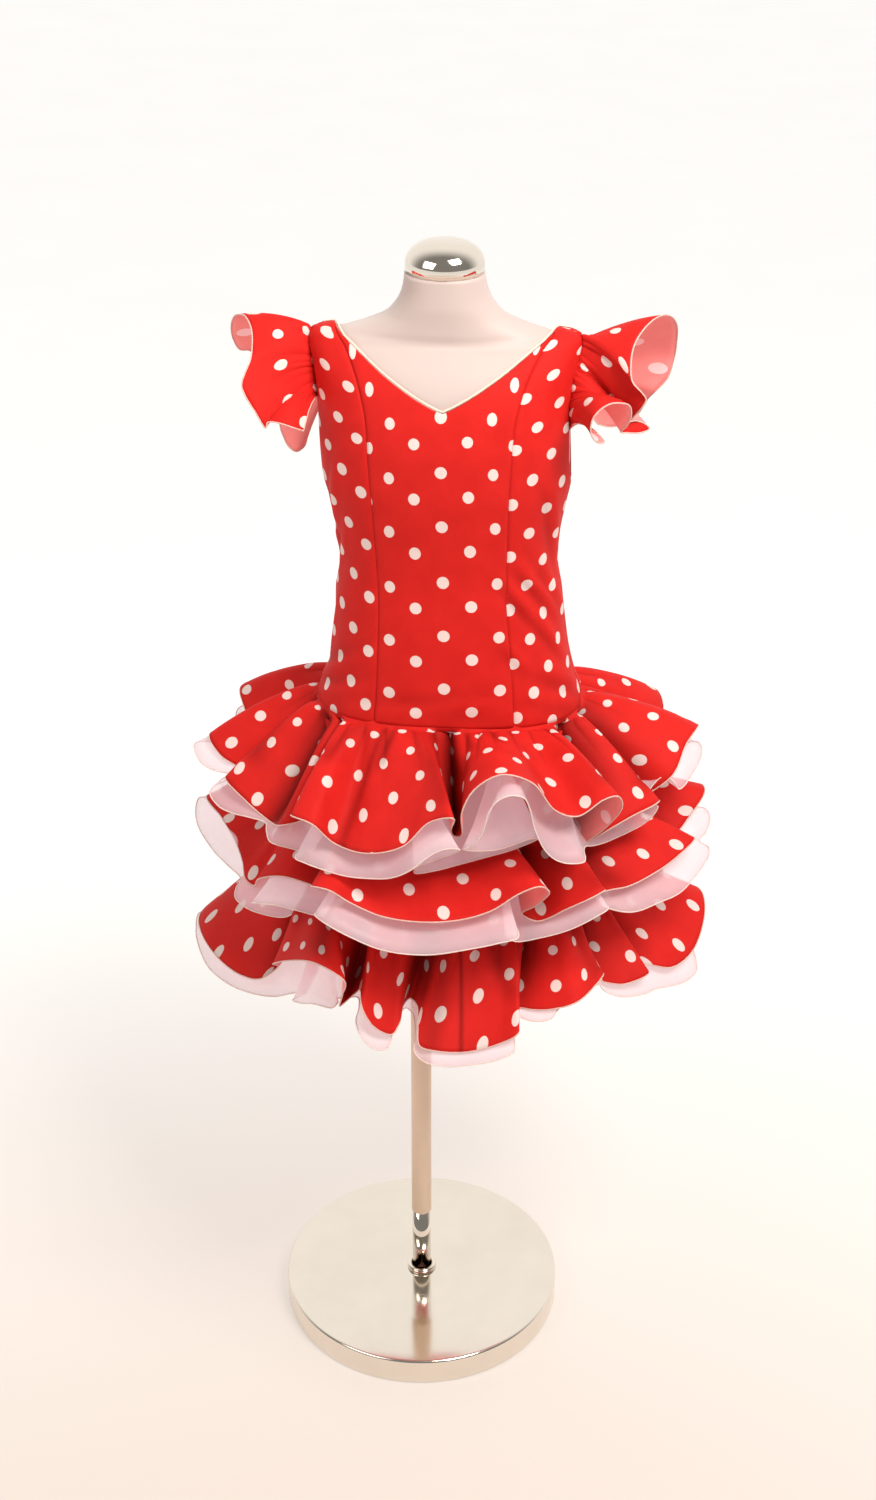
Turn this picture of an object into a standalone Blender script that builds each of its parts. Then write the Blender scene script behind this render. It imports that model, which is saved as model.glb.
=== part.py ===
"""A child's flamenco dress on its limbless dress form and round-based stand.

Units are metres, +Z is up and the front of the dress faces -Y.  The origin is
the middle of the underside of the stand's base.  Every cloth piece is a thin
wall; every fold of a ruffle is one row of that ruffle's table.
"""
import math

import bmesh
import bpy

# ------------------------------------------------------------------ sizes
BASE_RADIUS = 0.150
BASE_HEIGHT = 0.0307
BASE_EDGE = 0.0030
COLLAR_RADIUS = 0.0158
COLLAR_HEIGHT = 0.0048
POLE_RADIUS = 0.0108
CAP_RADIUS = 0.0349
CAP_HEIGHT = 0.0270
CLEARANCE = 0.0003

FORM_CENTRE_X = 0.0285
FORM_LEAN = 0.0175
LEAN_FROM_Z = 0.80
ROUNDNESS = 2.3

CLOTH_IN = 0.0006
CLOTH_OUT = 0.0018
SEAM_GAP = 0.0004
HIP_Z = 0.7560
HIP_FRONT_RISE = 0.0035
V_POINT_Z = 1.0587
SHOULDER_Z = 1.1125
NECK_HALF_WIDTH = 0.0935
BACK_NECK_Z = 1.0840
ZIP_HALF_WIDTH = 0.0035
BINDING_HEIGHT = 0.0030
ARMHOLE_Z = 0.975

RUFFLE_WALL = 0.0010
ORGANZA_WALL = 0.0010
ORGANZA_DROP = 0.0015
SLEEVE_STAND_OFF = 0.0025
EVEN_GATHER = 0.5
ORGANZA_EASE = 3

FORM_COLUMNS = 36
SKIRT_COLUMNS = 40

# Form: height, half width, depth in front, depth behind.
FORM_SECTIONS = (
    (0.690, 0.1040, 0.0700, 0.0680),
    (0.700, 0.1130, 0.0770, 0.0740),
    (0.718, 0.1200, 0.0825, 0.0795),
    (0.740, 0.1245, 0.0860, 0.0830),
    (0.758, 0.1240, 0.0860, 0.0825),
    (0.780, 0.1168, 0.0835, 0.0790),
    (0.802, 0.1115, 0.0810, 0.0755),
    (0.834, 0.1069, 0.0780, 0.0710),
    (0.865, 0.1038, 0.0755, 0.0680),
    (0.895, 0.0995, 0.0735, 0.0665),
    (0.925, 0.1013, 0.0745, 0.0675),
    (0.954, 0.1065, 0.0775, 0.0710),
    (0.983, 0.1120, 0.0800, 0.0750),
    (1.012, 0.1135, 0.0800, 0.0770),
    (1.040, 0.1140, 0.0765, 0.0765),
    (1.065, 0.1150, 0.0690, 0.0710),
    (1.085, 0.1175, 0.0570, 0.0610),
    (1.099, 0.1195, 0.0420, 0.0460),
    (1.107, 0.1185, 0.0330, 0.0370),
    (1.113, 0.0975, 0.0290, 0.0330),
    (1.119, 0.0750, 0.0295, 0.0330),
    (1.127, 0.0540, 0.0330, 0.0345),
    (1.138, 0.0430, 0.0360, 0.0360),
    (1.150, 0.0385, 0.0360, 0.0360),
    (1.162, 0.0365, 0.0360, 0.0360),
)

# How far the form stands inside the cloth's own surface: height, inset, drop.
FORM_INSETS = (
    (0.690, 0.0020, 0.0),
    (0.985, 0.0020, 0.0),
    (1.010, 0.0028, 0.0),
    (1.085, 0.0028, 0.0),
    (1.099, 0.0030, 0.0010),
    (1.107, 0.0052, 0.0034),
    (1.119, 0.0030, 0.0028),
    (1.138, 0.0016, 0.0),
    (1.162, 0.0016, 0.0),
)

# Underskirt: height, half width, depth in front, depth behind.
SKIRT_SECTIONS = (
    (0.5595, 0.1540, 0.1200, 0.1200),
    (0.600, 0.1480, 0.1140, 0.1140),
    (0.660, 0.1400, 0.1050, 0.1050),
    (0.710, 0.1320, 0.0950, 0.0930),
    (0.744, 0.1262, 0.0878, 0.0848),
)

# Princess seams: height, distance from the centre line.
PRINCESS_SEAM = (
    (0.750, 0.0625),
    (0.820, 0.0582),
    (0.877, 0.0558),
    (0.945, 0.0576),
    (1.008, 0.0611),
    (1.042, 0.0637),
    (1.0745, 0.0720),
    (1.100, 0.0850),
    (1.1125, 0.0965),
)

# Armhole edge in front: height, turn from the front on +X and on -X (degrees).
ARMHOLE_FRONT = (
    (0.975, 89.6, 89.6),
    (0.979, 84.0, 87.0),
    (0.988, 78.5, 84.0),
    (1.005, 74.5, 82.0),
    (1.040, 73.0, 81.0),
    (1.070, 73.5, 81.0),
    (1.090, 78.0, 83.0),
    (1.102, 84.0, 86.5),
    (1.1085, 89.4, 89.4),
)

# Armhole edge behind: height, turn from the back on +X and on -X (degrees).
ARMHOLE_BACK = (
    (0.975, 89.6, 89.6),
    (0.980, 82.0, 82.0),
    (0.992, 75.0, 75.0),
    (1.010, 71.0, 71.0),
    (1.040, 69.0, 69.0),
    (1.070, 70.0, 70.0),
    (1.090, 76.0, 76.0),
    (1.102, 83.0, 83.0),
    (1.1085, 89.4, 89.4),
)

# Ruffles: one row for each fold, read round from behind the left side.
# Every row is crest, flank and trough, each a turn from the front in
# degrees, a distance out from the form's centre line and a height.
TIER_1_FOLDS = (
    (-122.0, 0.222, 0.700, -112.0, 0.236, 0.706, -102.0, 0.212, 0.688),
    (-90.0, 0.236, 0.697, -84.0, 0.222, 0.686, -79.0, 0.196, 0.676),
    (-74.0, 0.219, 0.684, -66.0, 0.206, 0.673, -58.0, 0.192, 0.662),
    (-46.0, 0.200, 0.680, -43.0, 0.188, 0.684, -40.2, 0.176, 0.690),
    (-38.3, 0.212, 0.707, -31.8, 0.210, 0.706, -28.2, 0.195, 0.683),
    (-17.7, 0.200, 0.685, -7.6, 0.202, 0.700, -1.1, 0.198, 0.724),
    (5.0, 0.208, 0.735, 4.6, 0.190, 0.712, 5.8, 0.166, 0.692),
    (7.6, 0.190, 0.708, 7.2, 0.203, 0.738, 10.2, 0.203, 0.760),
    (16.7, 0.206, 0.775, 24.4, 0.208, 0.764, 31.1, 0.208, 0.730),
    (36.5, 0.214, 0.722, 41.9, 0.224, 0.737, 44.9, 0.228, 0.738),
    (49.1, 0.220, 0.716, 49.2, 0.202, 0.688, 47.5, 0.180, 0.662),
    (53.0, 0.199, 0.681, 58.0, 0.210, 0.690, 64.0, 0.218, 0.692),
    (68.0, 0.218, 0.690, 69.5, 0.202, 0.680, 72.5, 0.194, 0.676),
    (76.0, 0.221, 0.702, 83.0, 0.228, 0.721, 90.0, 0.238, 0.726),
    (97.0, 0.238, 0.712, 104.0, 0.205, 0.690, 113.0, 0.226, 0.700),
    (121.0, 0.232, 0.706, 130.0, 0.216, 0.692, 137.0, 0.186, 0.674),
    (145.0, 0.212, 0.690, 155.0, 0.216, 0.700, 164.0, 0.184, 0.670),
    (172.0, 0.206, 0.694, 182.0, 0.212, 0.702, 191.0, 0.184, 0.670),
    (200.0, 0.208, 0.688, 211.0, 0.218, 0.698, 221.0, 0.188, 0.674),
)
TIER_2_FOLDS = (
    (-98.0, 0.251, 0.608, -88.0, 0.230, 0.603, -78.0, 0.210, 0.592),
    (-72.0, 0.210, 0.586, -67.0, 0.200, 0.592, -63.0, 0.199, 0.580),
    (-56.0, 0.198, 0.602, -48.0, 0.192, 0.613, -38.0, 0.176, 0.612),
    (-29.8, 0.222, 0.649, -24.7, 0.222, 0.651, -20.4, 0.215, 0.639),
    (-13.0, 0.211, 0.629, -3.0, 0.210, 0.627, 6.9, 0.211, 0.631),
    (14.5, 0.214, 0.641, 20.8, 0.221, 0.660, 25.1, 0.226, 0.667),
    (28.0, 0.222, 0.656, 26.9, 0.206, 0.634, 25.0, 0.188, 0.615),
    (29.0, 0.193, 0.607, 34.8, 0.214, 0.627, 39.2, 0.226, 0.639),
    (42.5, 0.228, 0.643, 46.5, 0.195, 0.616, 51.0, 0.205, 0.619),
    (57.0, 0.212, 0.616, 65.0, 0.224, 0.620, 72.0, 0.234, 0.624),
    (79.0, 0.244, 0.630, 83.0, 0.224, 0.618, 87.5, 0.232, 0.626),
    (93.0, 0.250, 0.646, 100.0, 0.248, 0.640, 108.0, 0.215, 0.610),
    (117.0, 0.238, 0.620, 127.0, 0.236, 0.622, 137.0, 0.202, 0.600),
    (146.0, 0.222, 0.614, 157.0, 0.220, 0.616, 166.0, 0.190, 0.598),
    (175.0, 0.212, 0.612, 186.0, 0.214, 0.614, 195.0, 0.190, 0.598),
    (205.0, 0.222, 0.612, 217.0, 0.230, 0.616, 230.0, 0.206, 0.600),
    (241.0, 0.240, 0.612, 248.0, 0.236, 0.610, 255.0, 0.222, 0.602),
)
TIER_3_FOLDS = (
    (-95.0, 0.262, 0.472, -86.0, 0.252, 0.472, -76.0, 0.233, 0.469),
    (-68.0, 0.217, 0.470, -61.5, 0.204, 0.478, -59.0, 0.188, 0.492),
    (-52.0, 0.204, 0.516, -43.0, 0.206, 0.538, -30.0, 0.218, 0.562),
    (-20.9, 0.226, 0.560, -23.6, 0.212, 0.532, -28.5, 0.190, 0.500),
    (-26.5, 0.184, 0.508, -23.2, 0.189, 0.521, -20.2, 0.199, 0.533),
    (-16.9, 0.221, 0.530, -13.9, 0.222, 0.513, -10.0, 0.214, 0.502),
    (-8.9, 0.203, 0.507, -9.6, 0.180, 0.511, -8.6, 0.164, 0.509),
    (-5.6, 0.174, 0.509, -4.2, 0.195, 0.503, -3.0, 0.212, 0.491),
    (0.6, 0.214, 0.488, 8.5, 0.216, 0.488, 16.6, 0.222, 0.499),
    (20.7, 0.226, 0.510, 22.2, 0.207, 0.511, 24.0, 0.194, 0.514),
    (27.2, 0.203, 0.516, 30.4, 0.214, 0.520, 35.5, 0.226, 0.528),
    (44.0, 0.216, 0.530, 49.0, 0.208, 0.530, 50.5, 0.186, 0.512),
    (53.5, 0.197, 0.507, 59.0, 0.208, 0.499, 65.0, 0.222, 0.503),
    (69.5, 0.212, 0.500, 74.0, 0.234, 0.492, 82.0, 0.250, 0.496),
    (91.0, 0.258, 0.518, 99.0, 0.254, 0.521, 108.0, 0.226, 0.500),
    (118.0, 0.246, 0.500, 128.0, 0.242, 0.500, 138.0, 0.208, 0.488),
    (147.0, 0.226, 0.496, 158.0, 0.224, 0.498, 168.0, 0.194, 0.488),
    (178.0, 0.216, 0.496, 190.0, 0.218, 0.496, 200.0, 0.194, 0.486),
    (211.0, 0.226, 0.492, 224.0, 0.236, 0.490, 237.0, 0.210, 0.480),
    (246.0, 0.236, 0.480, 252.0, 0.244, 0.478, 258.0, 0.252, 0.476),
)

# Sleeve ruffles: one row for each turn of the free edge, from behind,
# over the shoulder, to the front: out from the centre, forward, height.
SLEEVE_L_FOLDS = (
    (0.128, -0.060, 1.028),
    (0.150, -0.070, 1.040),
    (0.163, -0.060, 1.052),
    (0.182, -0.062, 1.062),
    (0.197, -0.046, 1.074),
    (0.198, -0.032, 1.090),
    (0.193, -0.016, 1.108),
    (0.179, 0.005, 1.118),
    (0.170, 0.025, 1.103),
    (0.168, 0.045, 1.091),
    (0.174, 0.060, 1.079),
    (0.173, 0.067, 1.069),
    (0.164, 0.071, 1.055),
    (0.154, 0.073, 1.040),
    (0.141, 0.067, 1.040),
    (0.128, 0.055, 1.029),
)
SLEEVE_R_FOLDS = (
    (0.130, -0.060, 1.018),
    (0.152, -0.068, 1.010),
    (0.172, -0.062, 1.008),
    (0.186, -0.052, 1.036),
    (0.195, -0.045, 1.058),
    (0.201, -0.030, 1.087),
    (0.200, -0.015, 1.107),
    (0.191, 0.000, 1.127),
    (0.177, 0.020, 1.126),
    (0.166, 0.036, 1.122),
    (0.160, 0.050, 1.106),
    (0.166, 0.059, 1.082),
    (0.172, 0.062, 1.070),
    (0.165, 0.066, 1.060),
    (0.157, 0.075, 1.069),
    (0.146, 0.081, 1.072),
    (0.135, 0.075, 1.059),
    (0.130, 0.060, 1.038),
)

# Rows of the side and back panels, closer round the armhole and the strap.
PANEL_LEVELS = (
    0.0, 0.10, 0.20, 0.30, 0.40, 0.50, 0.58, 0.622,
    0.645, 0.68, 0.73, 0.79, 0.85, 0.90, 0.94, 0.97, 1.0,
)

COLOURS = {
    "red_cloth": ((0.66, 0.022, 0.018, 1.0), 0.0, 0.55),
    "organza": ((0.86, 0.74, 0.76, 1.0), 0.0, 0.45),
    "cream_tape": ((0.85, 0.74, 0.66, 1.0), 0.0, 0.60),
    "form_cover": ((0.86, 0.84, 0.80, 1.0), 0.0, 0.55),
    "chrome": ((0.72, 0.72, 0.73, 1.0), 1.0, 0.12),
}


# ------------------------------------------------------------ small helpers
def table_value(table, key, column):
    """Smooth (monotone cubic) value of one column at the given first-column key."""
    if key <= table[0][0]:
        return table[0][column]
    if key >= table[-1][0]:
        return table[-1][column]
    i = 0
    while table[i + 1][0] < key:
        i += 1
    x0, x1 = table[i][0], table[i + 1][0]
    y0, y1 = table[i][column], table[i + 1][column]
    here = (y1 - y0) / (x1 - x0)

    def slope(j):
        if j <= 0 or j >= len(table) - 1:
            k = min(max(j, 1), len(table) - 1)
            return (table[k][column] - table[k - 1][column]) / (table[k][0] - table[k - 1][0])
        a = (table[j][column] - table[j - 1][column]) / (table[j][0] - table[j - 1][0])
        b = (table[j + 1][column] - table[j][column]) / (table[j + 1][0] - table[j][0])
        if a * b <= 0.0:
            return 0.0
        return 2.0 * a * b / (a + b)

    m0, m1 = slope(i), slope(i + 1)
    if here == 0.0:
        m0 = m1 = 0.0
    t = (key - x0) / (x1 - x0)
    h = x1 - x0
    return (
        y0 * (1 + 2 * t) * (1 - t) ** 2
        + m0 * h * t * (1 - t) ** 2
        + y1 * t * t * (3 - 2 * t)
        + m1 * h * t * t * (t - 1)
    )


def add(a, b, scale=1.0):
    return (a[0] + b[0] * scale, a[1] + b[1] * scale, a[2] + b[2] * scale)


def sub(a, b):
    return (a[0] - b[0], a[1] - b[1], a[2] - b[2])


def cross(a, b):
    return (
        a[1] * b[2] - a[2] * b[1],
        a[2] * b[0] - a[0] * b[2],
        a[0] * b[1] - a[1] * b[0],
    )


def unit(a):
    length = math.sqrt(a[0] ** 2 + a[1] ** 2 + a[2] ** 2) or 1.0
    return (a[0] / length, a[1] / length, a[2] / length)


def mix(a, b, t):
    return tuple(a[k] * (1.0 - t) + b[k] * t for k in range(3))


def centre_x(z):
    return FORM_CENTRE_X - FORM_LEAN * max(0.0, z - LEAN_FROM_Z)


def signed_power(value, power):
    return math.copysign(abs(value) ** power, value)


def section_point(table, turn, z):
    """Point of a superellipse section; turn 0 is the front, 90 degrees is +X."""
    half = table_value(table, z, 1)
    depth = table_value(table, z, 2 if math.cos(turn) > 0.0 else 3)
    power = 2.0 / ROUNDNESS
    x = half * signed_power(math.sin(turn), power)
    y = -depth * signed_power(math.cos(turn), power)
    return (x + centre_x(z), y, z)


def turn_at(table, x, z):
    """Turn (radians) where the section's front reaches the distance x."""
    ratio = min(1.0, abs(x) / table_value(table, z, 1))
    return math.copysign(math.asin(ratio ** (ROUNDNESS / 2.0)), x)


def form_point(turn, z, off):
    """Point at a distance off the form's surface."""
    step_turn = 0.02
    step_z = 0.0015
    low = max(FORM_SECTIONS[0][0], z - step_z)
    high = min(FORM_SECTIONS[-1][0], z + step_z)
    along = sub(
        section_point(FORM_SECTIONS, turn + step_turn, z),
        section_point(FORM_SECTIONS, turn - step_turn, z),
    )
    up = sub(section_point(FORM_SECTIONS, turn, high), section_point(FORM_SECTIONS, turn, low))
    return add(section_point(FORM_SECTIONS, turn, z), unit(cross(along, up)), off)


def hip_z(turn):
    return HIP_Z + HIP_FRONT_RISE * math.cos(2.0 * turn)


def material(name):
    colour, metal, rough = COLOURS[name]
    mat = bpy.data.materials.new(name)
    mat.use_nodes = True
    shader = mat.node_tree.nodes["Principled BSDF"]
    shader.inputs["Base Color"].default_value = colour
    shader.inputs["Metallic"].default_value = metal
    shader.inputs["Roughness"].default_value = rough
    mat.diffuse_color = colour
    return mat


def finish(name, bm, mat_name):
    bmesh.ops.recalc_face_normals(bm, faces=bm.faces)
    for face in bm.faces:
        face.smooth = True
    mesh = bpy.data.meshes.new(name)
    bm.to_mesh(mesh)
    bm.free()
    mesh.materials.append(material(mat_name))
    obj = bpy.data.objects.new(name, mesh)
    bpy.context.scene.collection.objects.link(obj)
    return obj


def wall(name, inner, outer, mat_name, closed):
    """One closed cloth wall between two matching grids of points.

    Each grid is a list of rows; closed joins the last column to the first.
    """
    bm = bmesh.new()
    grids = []
    for grid in (inner, outer):
        grids.append([[bm.verts.new(p) for p in row] for row in grid])
    low, high = grids
    rows, cols = len(inner), len(inner[0])
    last = cols if closed else cols - 1
    for i in range(rows - 1):
        for j in range(last):
            k = (j + 1) % cols
            bm.faces.new((high[i][j], high[i][k], high[i + 1][k], high[i + 1][j]))
            bm.faces.new((low[i][j], low[i + 1][j], low[i + 1][k], low[i][k]))
    for j in range(last):
        k = (j + 1) % cols
        bm.faces.new((low[0][j], low[0][k], high[0][k], high[0][j]))
        bm.faces.new((low[-1][j], high[-1][j], high[-1][k], low[-1][k]))
    if not closed:
        for i in range(rows - 1):
            bm.faces.new((low[i][0], high[i][0], high[i + 1][0], low[i + 1][0]))
            bm.faces.new((low[i][-1], low[i + 1][-1], high[i + 1][-1], high[i][-1]))
    return finish(name, bm, mat_name)


def lathe(name, profile, x, columns, mat_name):
    """Solid of revolution about an upright line through (x, 0)."""
    bm = bmesh.new()
    rings = []
    for radius, z in profile:
        ring = []
        for j in range(columns):
            a = 2.0 * math.pi * j / columns
            ring.append(bm.verts.new((x + radius * math.cos(a), radius * math.sin(a), z)))
        rings.append(ring)
    for i in range(len(rings) - 1):
        for j in range(columns):
            k = (j + 1) % columns
            bm.faces.new((rings[i][j], rings[i][k], rings[i + 1][k], rings[i + 1][j]))
    bm.faces.new(list(reversed(rings[0])))
    bm.faces.new(rings[-1])
    return finish(name, bm, mat_name)


# ------------------------------------------------------------------ stand
def build_stand():
    lathe(
        "base",
        (
            (BASE_RADIUS - BASE_EDGE, 0.0),
            (BASE_RADIUS, BASE_EDGE),
            (BASE_RADIUS, BASE_HEIGHT - BASE_EDGE),
            (BASE_RADIUS - 0.3 * BASE_EDGE, BASE_HEIGHT - 0.3 * BASE_EDGE),
            (BASE_RADIUS - BASE_EDGE, BASE_HEIGHT),
        ),
        0.0,
        64,
        "chrome",
    )
    foot = BASE_HEIGHT + CLEARANCE
    bm = bmesh.new()
    rings = []
    bore = POLE_RADIUS + CLEARANCE
    profile = (
        (bore, foot),
        (COLLAR_RADIUS, foot),
        (COLLAR_RADIUS, foot + COLLAR_HEIGHT - 0.0008),
        (COLLAR_RADIUS - 0.0008, foot + COLLAR_HEIGHT),
        (bore, foot + COLLAR_HEIGHT),
    )
    for radius, z in profile:
        ring = []
        for j in range(32):
            a = 2.0 * math.pi * j / 32
            ring.append(bm.verts.new((radius * math.cos(a), radius * math.sin(a), z)))
        rings.append(ring)
    for i in range(len(rings)):
        nxt = rings[(i + 1) % len(rings)]
        for j in range(32):
            k = (j + 1) % 32
            bm.faces.new((rings[i][j], rings[i][k], nxt[k], nxt[j]))
    finish("pole_collar", bm, "chrome")
    top = FORM_SECTIONS[0][0] - CLEARANCE
    lathe("pole", ((POLE_RADIUS, foot), (POLE_RADIUS, top)), 0.0, 32, "chrome")
    z = FORM_SECTIONS[-1][0] + CLEARANCE
    lathe(
        "neck_cap",
        (
            (CAP_RADIUS, z),
            (CAP_RADIUS, z + 0.006),
            (CAP_RADIUS * 0.93, z + 0.014),
            (CAP_RADIUS * 0.72, z + 0.021),
            (CAP_RADIUS * 0.40, z + 0.0255),
            (CAP_RADIUS * 0.10, z + CAP_HEIGHT),
        ),
        centre_x(z),
        32,
        "chrome",
    )


def build_form():
    bm = bmesh.new()
    rings = []
    for row in FORM_SECTIONS:
        z = row[0]
        ring = []
        for j in range(FORM_COLUMNS):
            turn = 2.0 * math.pi * j / FORM_COLUMNS
            point = section_point(FORM_SECTIONS, turn, z)
            inward = unit((centre_x(z) - point[0], -point[1], 0.0))
            point = add(point, inward, table_value(FORM_INSETS, z, 1))
            point = add(point, (0.0, 0.0, -1.0), table_value(FORM_INSETS, z, 2))
            ring.append(bm.verts.new(point))
        rings.append(ring)
    for i in range(len(rings) - 1):
        for j in range(FORM_COLUMNS):
            k = (j + 1) % FORM_COLUMNS
            bm.faces.new((rings[i][j], rings[i][k], rings[i + 1][k], rings[i + 1][j]))
    bm.faces.new(rings[0])
    bm.faces.new(rings[-1])
    finish("form_torso", bm, "form_cover")


# ----------------------------------------------------------------- bodice
def panel(name, columns, levels, place, mat_name="red_cloth"):
    """A bodice panel; place(s, t) gives its turn and height."""
    inner, outer = [], []
    for t in levels:
        spots = [place(s, t) for s in columns]
        inner.append([form_point(turn, z, CLOTH_IN) for turn, z in spots])
        outer.append([form_point(turn, z, CLOTH_OUT) for turn, z in spots])
    return wall(name, inner, outer, mat_name, False)


def neck_x(z):
    """Half width of the front neckline at a height."""
    share = max(0.0, (z - V_POINT_Z) / (SHOULDER_Z - V_POINT_Z))
    return NECK_HALF_WIDTH * share ** 0.92


def neck_height(share):
    """Height where the neckline cuts the centre panel's line at this share."""
    low, high = V_POINT_Z, SHOULDER_Z
    for _ in range(40):
        middle = 0.5 * (low + high)
        if neck_x(middle) < share * table_value(PRINCESS_SEAM, middle, 1):
            low = middle
        else:
            high = middle
    return low


def even(count):
    return [k / count for k in range(count + 1)]


def upper_levels(count):
    """Levels that crowd towards the top of a panel."""
    return [1.0 - (1.0 - k / count) ** 1.35 for k in range(count + 1)]


def back_top(s):
    """Height of the back panel's upper edge, from the armhole to the zip."""
    dip = 0.5 - 0.5 * math.cos(math.pi * max(0.0, (s - 0.22) / 0.78))
    top = 1.1078 + (SHOULDER_Z - 1.1078) * min(1.0, s / 0.22)
    return top + (BACK_NECK_Z - SHOULDER_Z) * dip


def back_bend(s, z):
    """Share of the way from the armhole to the zip; the strap stays narrow."""
    if z <= 1.06:
        return s
    return s ** (1.0 + 0.9 * (z - 1.06) / (SHOULDER_Z - 1.06))


def back_neck(s):
    z = back_top(s)
    start = math.pi - math.radians(table_value(ARMHOLE_BACK, z, 1))
    return start + (math.pi - start) * back_bend(s, z), z


def build_bodice():
    gap = SEAM_GAP / 0.1
    shares = (-1.0, -0.96, -0.86, -0.70, -0.48, -0.24, 0.0, 0.24, 0.48, 0.70, 0.86, 0.96, 1.0)

    def centre(s, t):
        top = neck_height(abs(s))
        foot = hip_z(0.5 * s)
        z = foot + (top - foot) * t
        edge = turn_at(FORM_SECTIONS, table_value(PRINCESS_SEAM, z, 1), z) - gap
        return s * edge, z

    panel("front_center", shares, upper_levels(13), centre)

    for side, tag, column in ((1.0, "R", 1), (-1.0, "L", 2)):

        def front_side(s, t):
            foot = hip_z(math.radians(35.0 + 54.0 * s))
            top = SHOULDER_Z + (1.1078 - SHOULDER_Z) * s
            z = foot + (top - foot) * t
            start = turn_at(FORM_SECTIONS, table_value(PRINCESS_SEAM, z, 1), z) + gap
            end = math.radians(table_value(ARMHOLE_FRONT, z, column))
            start = min(start, end - 0.012)
            return side * (start + (end - start) * s), z

        columns = even(6)
        if side < 0.0:
            columns = columns[::-1]
        panel("front_side_" + tag, columns, PANEL_LEVELS, front_side)

        def back_side(s, t):
            foot = hip_z(math.radians(90.0 + 90.0 * s))
            z = foot + (back_top(s) - foot) * t
            start = math.pi - math.radians(table_value(ARMHOLE_BACK, z, column))
            half = table_value(FORM_SECTIONS, z, 1)
            end = math.pi - ((ZIP_HALF_WIDTH + SEAM_GAP) / half) ** (ROUNDNESS / 2.0)
            return side * (start + (end - start) * back_bend(s, z)), z

        columns = (0.0, 0.11, 0.22, 0.35, 0.48, 0.61, 0.74, 0.87, 1.0)
        if side < 0.0:
            columns = columns[::-1]
        panel("back_" + tag, columns, PANEL_LEVELS, back_side)

    def zip_strip(s, t):
        foot = hip_z(math.pi)
        z = foot + (BACK_NECK_Z - foot) * t
        half = table_value(FORM_SECTIONS, z, 1)
        reach = (ZIP_HALF_WIDTH / half) ** (ROUNDNESS / 2.0)
        return math.pi - reach * s, z

    panel("back_zip", (1.0, 0.0, -1.0), even(12), zip_strip, "cream_tape")


def neckline_path():
    """Turn and height round the neck opening, from the V point, closed."""
    front = []
    for share in (0.0, 0.24, 0.48, 0.70, 0.86, 0.96):
        z = neck_height(share)
        edge = turn_at(FORM_SECTIONS, table_value(PRINCESS_SEAM, z, 1), z)
        front.append((share * edge, z))
    behind = []
    for s in (0.22, 0.35, 0.48, 0.61, 0.74, 0.87, 1.0):
        behind.append(back_neck(s))
    path = front + behind
    mirrored = [(-turn, z) for turn, z in reversed(path[1:-1])]
    return path + mirrored


def build_binding():
    path = neckline_path()
    count = len(path)
    mids = [form_point(turn, z, 0.5 * (CLOTH_IN + CLOTH_OUT)) for turn, z in path]
    lifted = [form_point(turn, z, 0.5 * (CLOTH_IN + CLOTH_OUT) + 0.01) for turn, z in path]
    inner, outer = [], []
    for level in (1.6 * SEAM_GAP, 1.6 * SEAM_GAP + BINDING_HEIGHT):
        low_row, high_row = [], []
        for j in range(count):
            run = unit(sub(mids[(j + 1) % count], mids[j - 1]))
            out = unit(sub(lifted[j], mids[j]))
            up = unit(cross(out, run))
            edge = cross(out, unit(sub(mids[(j + 1) % count], mids[j])))
            miter = 1.0 / max(0.40, sum(up[k] * edge[k] for k in range(3)))
            spot = add(mids[j], up, level * miter)
            low_row.append(add(spot, out, -0.0005))
            high_row.append(add(spot, out, 0.0005))
        inner.append(low_row)
        outer.append(high_row)
    wall("neck_binding", inner, outer, "cream_tape", True)


# ---------------------------------------------------------------- ruffles
def spline(points, steps, closed):
    """Centripetal Catmull-Rom through the points, steps samples a span."""
    count = len(points)
    spans = count if closed else count - 1
    result = []
    for i in range(spans):
        if closed:
            quad = [points[(i + k - 1) % count] for k in range(4)]
        else:
            quad = [points[min(max(i + k - 1, 0), count - 1)] for k in range(4)]
            if i == 0:
                quad[0] = add(quad[1], sub(quad[2], quad[1]), -0.5)
            if i == spans - 1:
                quad[3] = add(quad[2], sub(quad[1], quad[2]), -0.5)
        knots = [0.0]
        for k in range(3):
            gap = sub(quad[k + 1], quad[k])
            length = math.sqrt(sum(c * c for c in gap))
            knots.append(knots[-1] + max(1e-6, length) ** 0.5)
        for s in range(steps):
            t = knots[1] + (knots[2] - knots[1]) * s / steps
            a = [
                mix(quad[k], quad[k + 1], (t - knots[k]) / (knots[k + 1] - knots[k]))
                for k in range(3)
            ]
            b = [mix(a[k], a[k + 1], (t - knots[k]) / (knots[k + 2] - knots[k])) for k in range(2)]
            result.append(mix(b[0], b[1], (t - knots[1]) / (knots[2] - knots[1])))
    if not closed:
        result.append(points[-1])
    return result


def fold_points(folds):
    points = []
    for row in folds:
        for k in range(3):
            turn = math.radians(row[3 * k])
            out, z = row[3 * k + 1], row[3 * k + 2]
            points.append((FORM_CENTRE_X + out * math.sin(turn), -out * math.cos(turn), z))
    return points


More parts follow.
